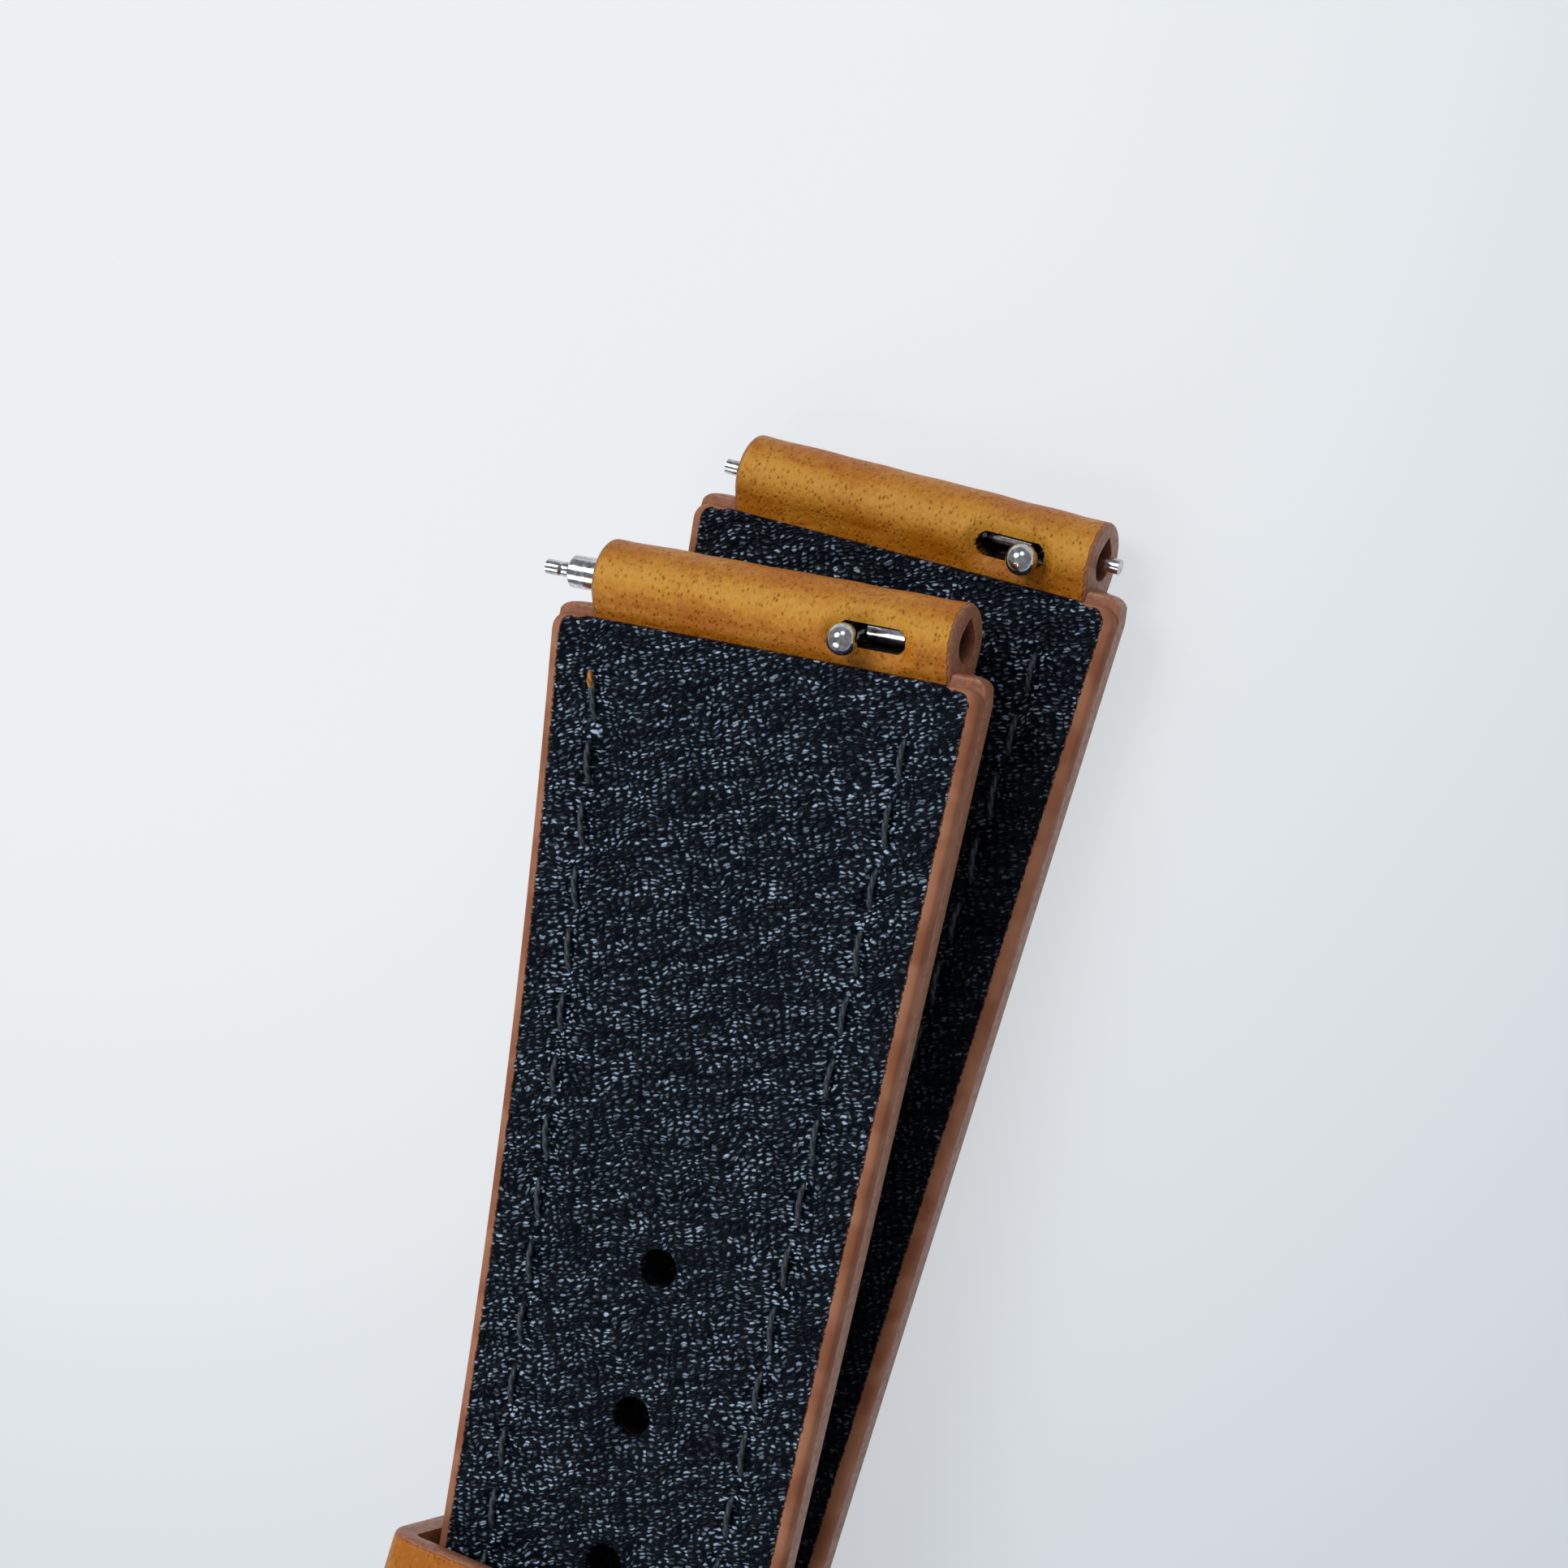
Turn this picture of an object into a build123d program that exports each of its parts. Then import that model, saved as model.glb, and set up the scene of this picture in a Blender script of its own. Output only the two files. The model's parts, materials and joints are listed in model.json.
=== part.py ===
"""Two-piece leather watch strap with quick-release spring bars, in millimetres.

The strap lies lining side up. The short half, with the buckle and its fixed keeper, rests on
the table. The long half, with the holes, lies over it and runs through the free keeper.
+Y points to the watch end, +X is to the right when the lining faces the viewer, +Z is up.
"""
from build123d import *
import os
from math import cos, sin

os.makedirs("parts", exist_ok=True)

# Strap widths and lengths
lug_width = 18.0
lug_side_gap = 0.15
shoulder_width = 21.2
tail_width = 16.1
taper_length = 58.0
taper_power = 1.57
long_length = 102.0
short_length = 66.0
curl_radius = 400.0
tip_length = 6.5
corner_radius = 0.8

# Leather layers
lining_thickness = 0.7
outer_thickness = 1.2
filler_at_lug = 0.9
filler_at_buckle = 0.5
filler_at_tail = 0.25
rim_width = 0.3
skive_width = 1.4
shoulder_step = 0.5
edge_round_width = 0.45
edge_round_depth = 0.3
tuck_length = 7.0

# Leather loops that hold the bars
loop_wall = 0.95
loop_drop = 0.05
bar_outset = 1.75
pinch_reach = 1.0
pinch_radius = 0.15
window_length = 3.3
window_width = 1.25
window_place = 4.95

# Holes for the buckle tang
hole_diameter = 1.8
first_hole = 28.0
hole_spacing = 6.8
hole_count = 7
filler_before_hole = 4.0

# Quick-release bar
bar_diameter = 1.5
bar_bore = 1.12
tunnel_clearance = 0.1
bar_tip_diameter = 0.7
fixed_tip_length = 1.3
fixed_tip_plug = 2.0
tip_groove_size = 0.14
tip_groove_place = 0.75
barrel_length = 17.1
pin_tip_length = 1.4
pin_diameter = 1.02
crimp_thickness = 0.25
crimp_clearance = 0.05
knob_from_pin_end = 3.75
knob_diameter = 1.45
knob_height = 2.35
knob_neck_diameter = 0.72
knob_tilt = 14.0
release_travel = 2.2
knob_end_gap = 0.07
pin_tail_length = 0.8
spring_wire = 0.16
spring_turns = 4
long_bar_knob_place = 4.0
short_bar_knob_place = 5.9

# Keepers
keeper_width = 5.0
keeper_wall = 1.1
keeper_fit = 0.25
keeper_corner = 1.3
keeper_inner_corner = 0.4
fixed_keeper_from_end = 7.0
fixed_keeper_slack = 2.5
keeper_tuck = 0.45
keeper_side_gap = 0.05
free_keeper_from_end = 14.5
free_keeper_travel_up = 3.5
free_keeper_travel_down = 2.0
long_slide_gap = 0.65

# Buckle
buckle_side_gap = 0.15
ear_thickness = 1.8
ear_diameter = 3.3
frame_reach = 12.4
frame_bar_width = 2.3
frame_thickness = 1.8
frame_corner = 2.4
frame_arch_radius = 24.0
frame_angle = -33.0
buckle_loop_gap = 0.25
tang_width = 1.9
tang_thickness = 1.2
tang_eye_wall = 0.6
tang_clearance = 0.06
tang_slot_gap = 0.3
tang_slot_depth = 1.4
tang_overhang = 0.4
tang_angle = 23.0
buckle_tip_diameter = 0.8
buckle_tip_grip = 0.9
buckle_tip_bore_gap = 0.05
buckle_tip_plug = 1.2
buckle_hole_depth = 1.1

# How the two halves lie
lay_shift_x = -3.0
lay_shift_y = -5.1
lay_height = 5.8
lay_angle = 4.4
rest_tilt = 2.1
overrun = 4.0
loft_stations = 7

# Sizes that follow from those above
tab_width = lug_width - 2 * lug_side_gap
tunnel_radius = bar_diameter / 2 + tunnel_clearance
loop_radius = tunnel_radius + loop_wall
bar_level = -loop_radius - loop_drop
bar_length = fixed_tip_length + barrel_length + pin_tip_length
knob_along_bar = bar_length - knob_from_pin_end
fixed_keeper_place = short_length - fixed_keeper_from_end
free_keeper_place = short_length - free_keeper_from_end


def half_width(s):
    """Half the strap's width at a distance s from the watch end of the lining."""
    share = min(max(s / taper_length, 0), 1)
    return tail_width / 2 + (shoulder_width - tail_width) / 2 * (1 - share) ** taper_power


def on_lining(s, depth=0):
    """Point on the strap's centre line, depth below the lining's face."""
    turn = s / curl_radius
    radius = curl_radius + depth
    return (0, -radius * sin(turn), curl_radius - radius * cos(turn))


def section_plane(s):
    """Plane across the strap: local x is across, local y points out of the lining."""
    turn = s / curl_radius
    return Plane(origin=on_lining(s), x_dir=(1, 0, 0), z_dir=(0, -cos(turn), sin(turn)))


def face_plane(s):
    """Plane on the lining: local x is across, local y points to the watch end."""
    turn = s / curl_radius
    return Plane(origin=on_lining(s), x_dir=(1, 0, 0), z_dir=(0, sin(turn), cos(turn)))


def buckle_end_plane():
    """Plane on the lining at the buckle end: local y points out of the strap."""
    turn = short_length / curl_radius
    return Plane(origin=on_lining(short_length), x_dir=(-1, 0, 0), z_dir=(0, sin(turn), cos(turn)))


def rod(radius, start, end):
    """Round bar along X."""
    return Pos((start + end) / 2, 0, 0) * Cylinder(radius, end - start, rotation=(0, 90, 0))


def layer(outline, length):
    """Loft one leather layer along the whole half: outline(s) gives its section's points."""
    sections = []
    for station in range(loft_stations + 1):
        s = -shoulder_step + (length + shoulder_step) * station / loft_stations
        sections.append(section_plane(s) * Polygon(*outline(s), align=None))
    return loft(sections)


def stretch(start, end):
    """Block that keeps only the stretch of a half between two places along it."""
    size = 2 * curl_radius
    ahead = Box(size, size, size, align=(Align.CENTER, Align.CENTER, Align.MIN))
    behind = Box(size, size, size, align=(Align.CENTER, Align.CENTER, Align.MAX))
    return (section_plane(start) * ahead) & (section_plane(end) * behind)


def mirrored(points):
    """Close a right-hand outline with its mirror image."""
    return points + [(-x, y) for x, y in reversed(points)]


def lining_outline(s):
    half = half_width(s)
    return mirrored([
        (half - edge_round_width, 0),
        (half, -edge_round_depth),
        (half, -lining_thickness),
    ])


def filler_outline(s, fill):
    half = half_width(s) - rim_width
    return mirrored([
        (half, -lining_thickness),
        (half - skive_width, -lining_thickness - fill),
    ])


def filler_room_outline(s, fill):
    """The filler's outline raised past its top, to cut its room in the outer leather."""
    half = half_width(s) - rim_width
    return mirrored([
        (half, 0),
        (half, -lining_thickness),
        (half - skive_width, -lining_thickness - fill),
    ])


def outer_outline(s, fill):
    half = half_width(s)
    outer = -lining_thickness - outer_thickness
    return mirrored([
        (half, -lining_thickness),
        (half, outer + edge_round_depth),
        (half - edge_round_depth, outer),
        (half - rim_width - skive_width, outer - fill),
    ])


def plan_prism(outline):
    """Tall prism over a plan outline, to round a strap's ends."""
    return extrude(outline, amount=curl_radius / 4, both=True)


def shoulder_outline(far_y):
    """Plan with rounded corners at the watch end, open past far_y."""
    top = shoulder_step
    plan = Pos(0, (top + far_y) / 2) * Rectangle(shoulder_width, top - far_y)
    corners = plan.vertices().sort_by(Axis.Y)[-2:]
    return fillet(corners, corner_radius)


def long_outline(tip_y):
    """Plan of the long half: rounded shoulders and a round tail tip."""
    base_y = tip_y + tip_length
    body = shoulder_outline(base_y)
    half = tail_width / 2
    arc = ThreePointArc((-half, base_y), (0, tip_y), (half, base_y))
    tip = make_face([arc, Line((half, base_y), (-half, base_y))])
    return body + tip


def bar_loop(width, fill):
    """Leather wrapped round a bar. Local y points out of the strap from the lining's edge.

    The wrap's tucked end fills the layer under the lining, up to where the filler starts.
    """
    depth = lining_thickness + fill + outer_thickness
    centre = (bar_outset, bar_level)
    ring = Edge.make_circle(loop_radius).moved(Location((*centre, 0)))
    root = Edge.make_line((0, -lining_thickness), (0, -depth))
    pinch = Edge.make_circle(pinch_radius).moved(Location((bar_outset + pinch_reach, bar_level, 0)))
    bore = Edge.make_circle(tunnel_radius).moved(Location((*centre, 0)))
    wrap = extrude(Plane.YZ * make_hull([ring, root]), amount=width / 2, both=True)
    tunnel = extrude(Plane.YZ * make_hull([bore, pinch]), amount=width, both=True)
    return wrap - tunnel


def bar_window():
    """Cutter for the slot in the leather that the release knob stands in."""
    slot = extrude(SlotOverall(window_length, window_width), amount=knob_height)
    return Pos(window_place, bar_outset, bar_level) * Rot(knob_tilt, 0, 0) * slot


def tang_hole_cutters():
    """Cutters for the row of tang holes in the long half."""
    depth = lining_thickness + outer_thickness + filler_at_lug + overrun
    cutters = []
    for index in range(hole_count):
        place = face_plane(first_hole + index * hole_spacing)
        cutters.append(place * Cylinder(hole_diameter / 2, 2 * depth))
    return cutters


def leather_half(length, filler_at_end, filler_start, filler_end, outline):
    """Outer leather, filler and lining of one half, without its far end's own features."""

    def fill(s):
        share = min(max(s / length, 0), 1)
        return filler_at_lug + (filler_at_end - filler_at_lug) * share

    trim = plan_prism(outline)
    outer = layer(lambda s: outer_outline(s, fill(s)), length) & trim
    lining = layer(lining_outline, length) & trim & stretch(0, length)
    part_filled = stretch(filler_start, filler_end)
    filler = layer(lambda s: filler_outline(s, fill(s)), length) & part_filled
    filler_room = layer(lambda s: filler_room_outline(s, fill(s)), length) & part_filled
    lug_loop = bar_loop(tab_width, filler_at_lug) - bar_window()
    return outer - filler_room + lug_loop, filler, lining


def make_long_half():
    tip_y = on_lining(long_length)[1]
    outer, filler, lining = leather_half(
        long_length, filler_at_tail, tuck_length, first_hole - filler_before_hole,
        long_outline(tip_y))
    for cutter in tang_hole_cutters():
        outer, lining = outer - cutter, lining - cutter
    return outer, filler, lining


def make_short_half():
    end_y = on_lining(short_length)[1]
    outer, filler, lining = leather_half(
        short_length, filler_at_buckle, tuck_length, short_length - tuck_length,
        shoulder_outline(end_y - overrun))
    end = buckle_end_plane()
    tang_slot = end * (Pos(0, -tang_slot_depth, 0) * Box(
        tang_width + 2 * tang_slot_gap, 2 * overrun, curl_radius / 4,
        align=(Align.CENTER, Align.MIN, Align.CENTER)))
    loop = end * bar_loop(buckle_loop_width(), filler_at_buckle)
    outer = outer + loop - tang_slot - keeper_room()
    return outer, filler - keeper_room(), lining


def buckle_inner_width():
    return tail_width + 2 * buckle_side_gap


def buckle_loop_width():
    return buckle_inner_width() - 2 * buckle_loop_gap - 2 * buckle_side_gap


def make_bar():
    """Quick-release bar along X, knob up, with the end of its fixed tip at x = 0."""
    barrel_start = fixed_tip_length
    barrel_end = barrel_start + barrel_length
    bore_radius = bar_bore / 2
    tip_radius = bar_tip_diameter / 2
    crimp_start = barrel_end - crimp_thickness
    barrel = rod(bar_diameter / 2, barrel_start, barrel_end)
    barrel -= rod(bore_radius, barrel_start - overrun, crimp_start)
    barrel -= rod(tip_radius + crimp_clearance, crimp_start - overrun, barrel_end + overrun)
    ends = barrel.edges().filter_by(GeomType.CIRCLE).group_by(Axis.X)
    barrel = chamfer(ends[0].sort_by(Edge.length)[-1], crimp_thickness / 2)
    ends = barrel.edges().filter_by(GeomType.CIRCLE).group_by(Axis.X)
    barrel = chamfer(ends[-1].sort_by(Edge.length)[-1], crimp_thickness / 2)
    neck = knob_neck_diameter / 2
    slot_start = knob_along_bar - neck - knob_end_gap - release_travel
    slot_end = knob_along_bar + neck + knob_end_gap
    slot = Box(slot_end - slot_start, 2 * bar_diameter, bar_diameter,
               align=(Align.MIN, Align.CENTER, Align.MIN))
    barrel -= Pos(slot_start, 0, 0) * slot

    fixed_tip = rod(tip_radius, 0, barrel_start)
    fixed_tip += rod(bore_radius, barrel_start, barrel_start + fixed_tip_plug)
    groove = Rectangle(tip_groove_size, tip_groove_size, rotation=45)
    fixed_tip -= revolve(Pos(tip_groove_place, tip_radius) * groove, Axis.X)

    pin_start = slot_start - pin_tail_length
    shoulder = crimp_start - crimp_clearance
    pin = rod(pin_diameter / 2, pin_start, shoulder) + rod(tip_radius, shoulder, bar_length)
    knob_neck = Cylinder(neck, knob_height, align=(Align.CENTER, Align.CENTER, Align.MIN))
    knob = Pos(knob_along_bar, 0, 0) * (knob_neck + Pos(0, 0, knob_height) * Sphere(knob_diameter / 2))
    pin -= Pos(knob_along_bar, 0, 0) * knob_neck

    spring = coil(barrel_start + fixed_tip_plug, pin_start, pin_diameter - spring_wire)
    return {"barrel": barrel, "fixed_tip": fixed_tip, "pin": pin, "knob": knob, "spring": spring}


def coil(start, end, mean_diameter):
    """Compression spring along X between two end faces."""
    height = end - start - spring_wire
    path = Helix(pitch=height / spring_turns, height=height, radius=mean_diameter / 2)
    wire = sweep(Plane(path @ 0, z_dir=path % 0) * Rectangle(spring_wire, spring_wire), path=path)
    return Pos(start + spring_wire / 2, 0, 0) * Rot(0, 90, 0) * wire


def place_bar(pieces, knob_place):
    """Put a bar in its loop with the knob at knob_place across the strap."""
    seat = Pos(knob_place - knob_along_bar, bar_outset, bar_level) * Rot(knob_tilt, 0, 0)
    return {name: seat * piece for name, piece in pieces.items()}


def ring_band(left, right, bottom, top, inner_corner, outer_corner, wall):
    """Closed leather ring across the strap, open along local z."""
    centre = Pos((left + right) / 2, (bottom + top) / 2)
    hole = RectangleRounded(right - left, top - bottom, inner_corner)
    rim = RectangleRounded(right - left + 2 * wall, top - bottom + 2 * wall, outer_corner)
    return extrude(centre * (rim - hole), amount=keeper_width / 2, both=True)


def keeper_room():
    """Cutter for the room under the lining where the fixed keeper's ends are tucked."""
    room = Pos(0, -lining_thickness - keeper_tuck) * Rectangle(
        2 * shoulder_width, overrun, align=(Align.CENTER, Align.MIN))
    return section_plane(fixed_keeper_place) * extrude(room, amount=keeper_width / 2, both=True)


def make_fixed_keeper():
    """Keeper sewn into the short half: its thin ends are tucked between the layers."""
    half = half_width(fixed_keeper_place - keeper_width / 2) + keeper_side_gap
    inner_top = -lining_thickness - keeper_tuck
    fill = filler_at_lug + (filler_at_buckle - filler_at_lug) * fixed_keeper_place / short_length
    inner_bottom = -lining_thickness - fill - outer_thickness - fixed_keeper_slack
    ring = ring_band(-half, half, inner_bottom, inner_top,
                     keeper_inner_corner, keeper_corner, keeper_wall)
    above = Pos(0, -lining_thickness) * Rectangle(
        4 * half, 4 * half, align=(Align.CENTER, Align.MIN))
    square_corners = Pos(0, inner_top) * Rectangle(
        2 * half, keeper_corner, align=(Align.CENTER, Align.MAX))
    ring -= extrude(above + square_corners, amount=keeper_width, both=True)
    return section_plane(fixed_keeper_place) * ring


def long_half_place():
    """Where the long half lies, seen from the short half."""
    return Pos(lay_shift_x, lay_shift_y, lay_height) * Rot(0, 0, lay_angle)


def make_free_keeper(long_pieces):
    """Loose ring round both halves, sized from the pieces that run through it."""
    plane = section_plane(free_keeper_place)
    reach = keeper_width / 2 + max(free_keeper_travel_up, free_keeper_travel_down)
    zone = plane * Box(overrun * shoulder_width, 4 * lay_height, 2 * reach)
    inside = [plane.to_local_coords(piece & zone).bounding_box() for piece in long_pieces]
    half = half_width(free_keeper_place - reach)
    left = min([-half] + [box.min.X for box in inside]) - keeper_fit
    right = max([half] + [box.max.X for box in inside]) + keeper_fit
    top = max(box.max.Y for box in inside) + long_slide_gap
    bottom = -lining_thickness - filler_at_lug - outer_thickness
    ring = ring_band(left, right, bottom, top, keeper_inner_corner, keeper_corner, keeper_wall)
    return plane * ring


def bar_seat_plane():
    """Buckle bar's axis: local x is along it, local y points out of the strap."""
    return buckle_end_plane() * Pos(0, bar_outset, bar_level)


def make_buckle_frame():
    """Arched steel frame with two ears that hold the buckle bar."""
    inner_half = buckle_inner_width() / 2
    outer_half = inner_half + ear_thickness
    plan = Pos(0, frame_reach / 2) * Rectangle(2 * outer_half, frame_reach)
    corners = plan.vertices().sort_by(Axis.Y)[-2:]
    plan = fillet(corners, frame_corner)
    opening_end = frame_reach - frame_bar_width
    opening = Pos(0, opening_end / 2 - overrun / 2) * RectangleRounded(
        2 * inner_half, opening_end + overrun, frame_corner - ear_thickness / 2)
    arch_centre = (0, frame_arch_radius)
    outer_arc = Pos(*arch_centre) * Circle(frame_arch_radius + frame_thickness / 2)
    inner_arc = Pos(*arch_centre) * Circle(frame_arch_radius - frame_thickness / 2)
    side = extrude(Plane.YZ * (outer_arc - inner_arc), amount=2 * outer_half, both=True)
    frame = extrude(plan - opening, amount=frame_reach, both=True) & side
    hole_radius = buckle_tip_diameter / 2 + buckle_tip_bore_gap
    for side_sign in (-1, 1):
        inner, outer = sorted((side_sign * inner_half, side_sign * outer_half))
        frame += rod(ear_diameter / 2, inner, outer)
    for side_sign in (-1, 1):
        face = side_sign * inner_half
        start, end = sorted((face, face + side_sign * buckle_hole_depth))
        frame -= rod(hole_radius, start, end)
    return Rot(frame_angle, 0, 0) * frame


def make_buckle_tang():
    """Tang with an eye round the buckle bar, lying on the frame's outer side."""
    hole = bar_diameter / 2 + tang_clearance
    eye = hole + tang_eye_wall
    length = frame_reach + tang_overhang
    tip_radius = tang_thickness / 2
    eye_disc = Circle(eye)
    shank_top = -hole
    shank = Pos(0, shank_top - tip_radius) * SlotOverall(
        2 * length, tang_thickness) & Pos(length / 2, 0) * Rectangle(length, 4 * eye)
    profile = eye_disc + shank - Circle(hole)
    tang = extrude(Plane.YZ * profile, amount=tang_width / 2, both=True)
    return Rot(-tang_angle, 0, 0) * tang


def make_buckle_bar():
    """Spring bar of the buckle along X: barrel, two sprung tips and their spring."""
    half = buckle_inner_width() / 2 - buckle_side_gap
    bore_radius = bar_bore / 2
    tip_radius = buckle_tip_diameter / 2
    barrel = rod(bar_diameter / 2, -half, half)
    barrel -= rod(bore_radius, -half + crimp_thickness, half - crimp_thickness)
    barrel -= rod(tip_radius + crimp_clearance, -half - overrun, half + overrun)
    plug_end = half - crimp_thickness - crimp_clearance
    plug_start = plug_end - buckle_tip_plug
    tip = rod(bore_radius - crimp_clearance, plug_start, plug_end)
    tip += rod(tip_radius, plug_end, half + buckle_side_gap + buckle_tip_grip)
    spring = coil(-plug_start, plug_start, pin_diameter - spring_wire)
    return {"barrel": barrel, "tip_left": tip, "tip_right": mirror(tip, Plane.YZ), "spring": spring}


def assemble():
    """All pieces in the short half's frame, by node name."""
    parts = {}
    names = ("outer_leather", "filler", "lining")
    for name, piece in zip(names, make_short_half()):
        parts["short_" + name] = piece
    parts["fixed_keeper"] = make_fixed_keeper()
    long_leather = [long_half_place() * piece for piece in make_long_half()]
    for name, piece in zip(names, long_leather):
        parts["long_" + name] = piece
    parts["free_keeper"] = make_free_keeper([long_leather[0], long_leather[2]])
    bar = make_bar()
    for name, piece in place_bar(bar, short_bar_knob_place).items():
        parts["short_bar_" + name] = piece
    for name, piece in place_bar(bar, long_bar_knob_place).items():
        parts["long_bar_" + name] = long_half_place() * piece
    seat = bar_seat_plane()
    parts["buckle_frame"] = seat * make_buckle_frame()
    parts["buckle_tang"] = seat * make_buckle_tang()
    for name, piece in make_buckle_bar().items():
        parts["buckle_bar_" + name] = seat * piece
    return parts


parts = assemble()
tilt = Rot(rest_tilt, 0, 0)
parts = {name: tilt * piece for name, piece in parts.items()}
whole = Compound(children=[Compound(list(piece.solids())) for piece in parts.values()]).bounding_box()
lift = Pos(-(whole.min.X + whole.max.X) / 2, -(whole.min.Y + whole.max.Y) / 2, -whole.min.Z)
parts = {name: lift * piece for name, piece in parts.items()}

for name, piece in parts.items():
    export_step(piece, f"parts/{name}.step")
    print(name, len(piece.solids()), round(piece.volume, 3))


def told(label, place, along=(1, 0, 0)):
    """Print a point and a direction of the finished part, in millimetres."""
    spot = lift * tilt * place
    start, end = spot.position, (spot * Pos(*along)).position
    print(label, [round(v, 4) for v in start], [round(v, 5) for v in (end - start)])


long_seat = long_half_place() * Pos(0, bar_outset, bar_level)
told("short half frame", Location())
told("long half frame", long_half_place())
told("long half slide", long_half_place() * face_plane(free_keeper_place).location, (0, 1, 0))
told("free keeper slide", face_plane(free_keeper_place).location, (0, 1, 0))
told("long bar axis", long_seat)
told("short bar axis", Pos(0, bar_outset, bar_level))
told("buckle axis", bar_seat_plane())
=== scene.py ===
"""Leather watch strap with quick-release bars, dressed for rendering.

Lengths in the code are millimetres on the strap; meshes are stored in metres.
A point of a half is (across, along, depth): across the strap, along it from the watch end,
and depth below the lining's face.
"""
import json
from collections import Counter
from math import asin, atan2, cos, exp, floor, hypot, pi, radians, sin, sqrt
from types import SimpleNamespace

import bmesh
import bpy
from bpy.props import FloatProperty, FloatVectorProperty, IntProperty, PointerProperty
from mathutils import Matrix, Vector, noise

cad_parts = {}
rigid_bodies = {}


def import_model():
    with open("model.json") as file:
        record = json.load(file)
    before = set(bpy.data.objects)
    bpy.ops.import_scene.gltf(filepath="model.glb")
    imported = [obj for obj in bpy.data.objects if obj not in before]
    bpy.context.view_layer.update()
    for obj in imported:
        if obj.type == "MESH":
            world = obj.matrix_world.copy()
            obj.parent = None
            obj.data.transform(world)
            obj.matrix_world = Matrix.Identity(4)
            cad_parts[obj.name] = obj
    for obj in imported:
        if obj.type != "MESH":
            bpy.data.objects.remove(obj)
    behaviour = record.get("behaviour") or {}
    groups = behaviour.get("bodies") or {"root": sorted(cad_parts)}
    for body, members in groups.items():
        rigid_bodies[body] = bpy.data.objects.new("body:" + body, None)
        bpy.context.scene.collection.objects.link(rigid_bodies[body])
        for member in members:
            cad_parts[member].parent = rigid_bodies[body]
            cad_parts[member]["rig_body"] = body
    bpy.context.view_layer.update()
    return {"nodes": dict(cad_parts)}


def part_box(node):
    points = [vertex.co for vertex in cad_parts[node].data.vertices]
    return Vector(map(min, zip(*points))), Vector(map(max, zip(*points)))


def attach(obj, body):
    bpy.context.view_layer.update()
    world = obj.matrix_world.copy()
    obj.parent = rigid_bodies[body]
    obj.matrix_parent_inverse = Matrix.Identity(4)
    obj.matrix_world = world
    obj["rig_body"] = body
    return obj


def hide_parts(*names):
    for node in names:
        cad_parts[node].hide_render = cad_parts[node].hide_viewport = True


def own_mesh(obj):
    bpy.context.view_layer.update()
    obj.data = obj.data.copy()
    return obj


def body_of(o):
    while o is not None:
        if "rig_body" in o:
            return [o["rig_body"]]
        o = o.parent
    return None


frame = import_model()

bl_info = {
    "name": "Leather Watch Strap",
    "version": (1, 0, 0),
    "blender": (4, 5, 0),
    "location": "View3D > Sidebar > Strap",
    "description": "Builds a two-piece leather watch strap with quick-release bars",
    "category": "Object",
}

MM = 0.001


def length(name, millimetres, description):
    """A size that a user can change, given here in millimetres."""
    return FloatProperty(name=name, description=description, default=millimetres * MM,
                         unit="LENGTH", precision=5)


def colour(name, code, description):
    """A colour that a user can change, given here as an sRGB hex value."""
    return FloatVectorProperty(name=name, description=description, default=linear(code),
                               size=4, subtype="COLOR", min=0, max=1)


def linear(code):
    """Turn an sRGB hex value to a linear colour."""
    channels = [int(code[i:i + 2], 16) / 255 for i in (1, 3, 5)]
    return tuple(c / 12.92 if c <= 0.04045 else ((c + 0.055) / 1.055) ** 2.4 for c in channels) + (1.0,)


class StrapSizes(bpy.types.PropertyGroup):
    """Sizes of the two halves and their leather layers."""
    shoulder_width: length("Shoulder width", 21.2, "Width of the strap at the watch")
    tail_width: length("Tail width", 16.1, "Width of the strap past its taper")
    taper_length: length("Taper length", 58.0, "Length over which the strap narrows")
    taper_power: FloatProperty(name="Taper power", default=1.57,
                               description="Curve of the taper; 1 is straight")
    long_length: length("Long half", 102.0, "Length of the half with the holes")
    short_length: length("Short half", 66.0, "Length of the half with the buckle")
    curl_radius: length("Curl radius", 400.0, "Radius that the halves curl to when laid down")
    tip_length: length("Tip length", 6.5, "Length of the round tip")
    corner: length("Corner", 0.8, "Radius of the shoulders' corners")
    lining: length("Lining", 0.7, "Thickness of the lining")
    outer: length("Outer leather", 1.2, "Thickness of the outer leather")
    fill_at_lug: length("Fill at the watch", 0.9, "Thickness of the filler at the watch end")
    fill_at_buckle: length("Fill at the buckle", 0.5, "Thickness of the filler at the buckle")
    fill_at_tail: length("Fill at the tail", 0.25, "Thickness of the filler at the tail")
    shoulder_step: length("Shoulder step", 0.5, "How far the outer leather stands past the lining")
    tab_width: length("Tab width", 17.7, "Width of the loop round the quick-release bar")
    buckle_tab_width: length("Buckle loop width", 15.6, "Width of the loop round the buckle's bar")
    tang_slot: length("Tang slot", 2.5, "Width of the slot that the tang swings in")
    tang_slot_depth: length("Tang slot depth", 1.4, "How far the slot is cut into the strap")
    hole: length("Hole", 1.8, "Diameter of the tang holes")
    first_hole: length("First hole", 28.0, "Place of the first hole from the watch end")
    hole_spacing: length("Hole spacing", 6.8, "Distance between holes")
    hole_count: IntProperty(name="Holes", default=7, min=1, description="Number of tang holes")


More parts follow.
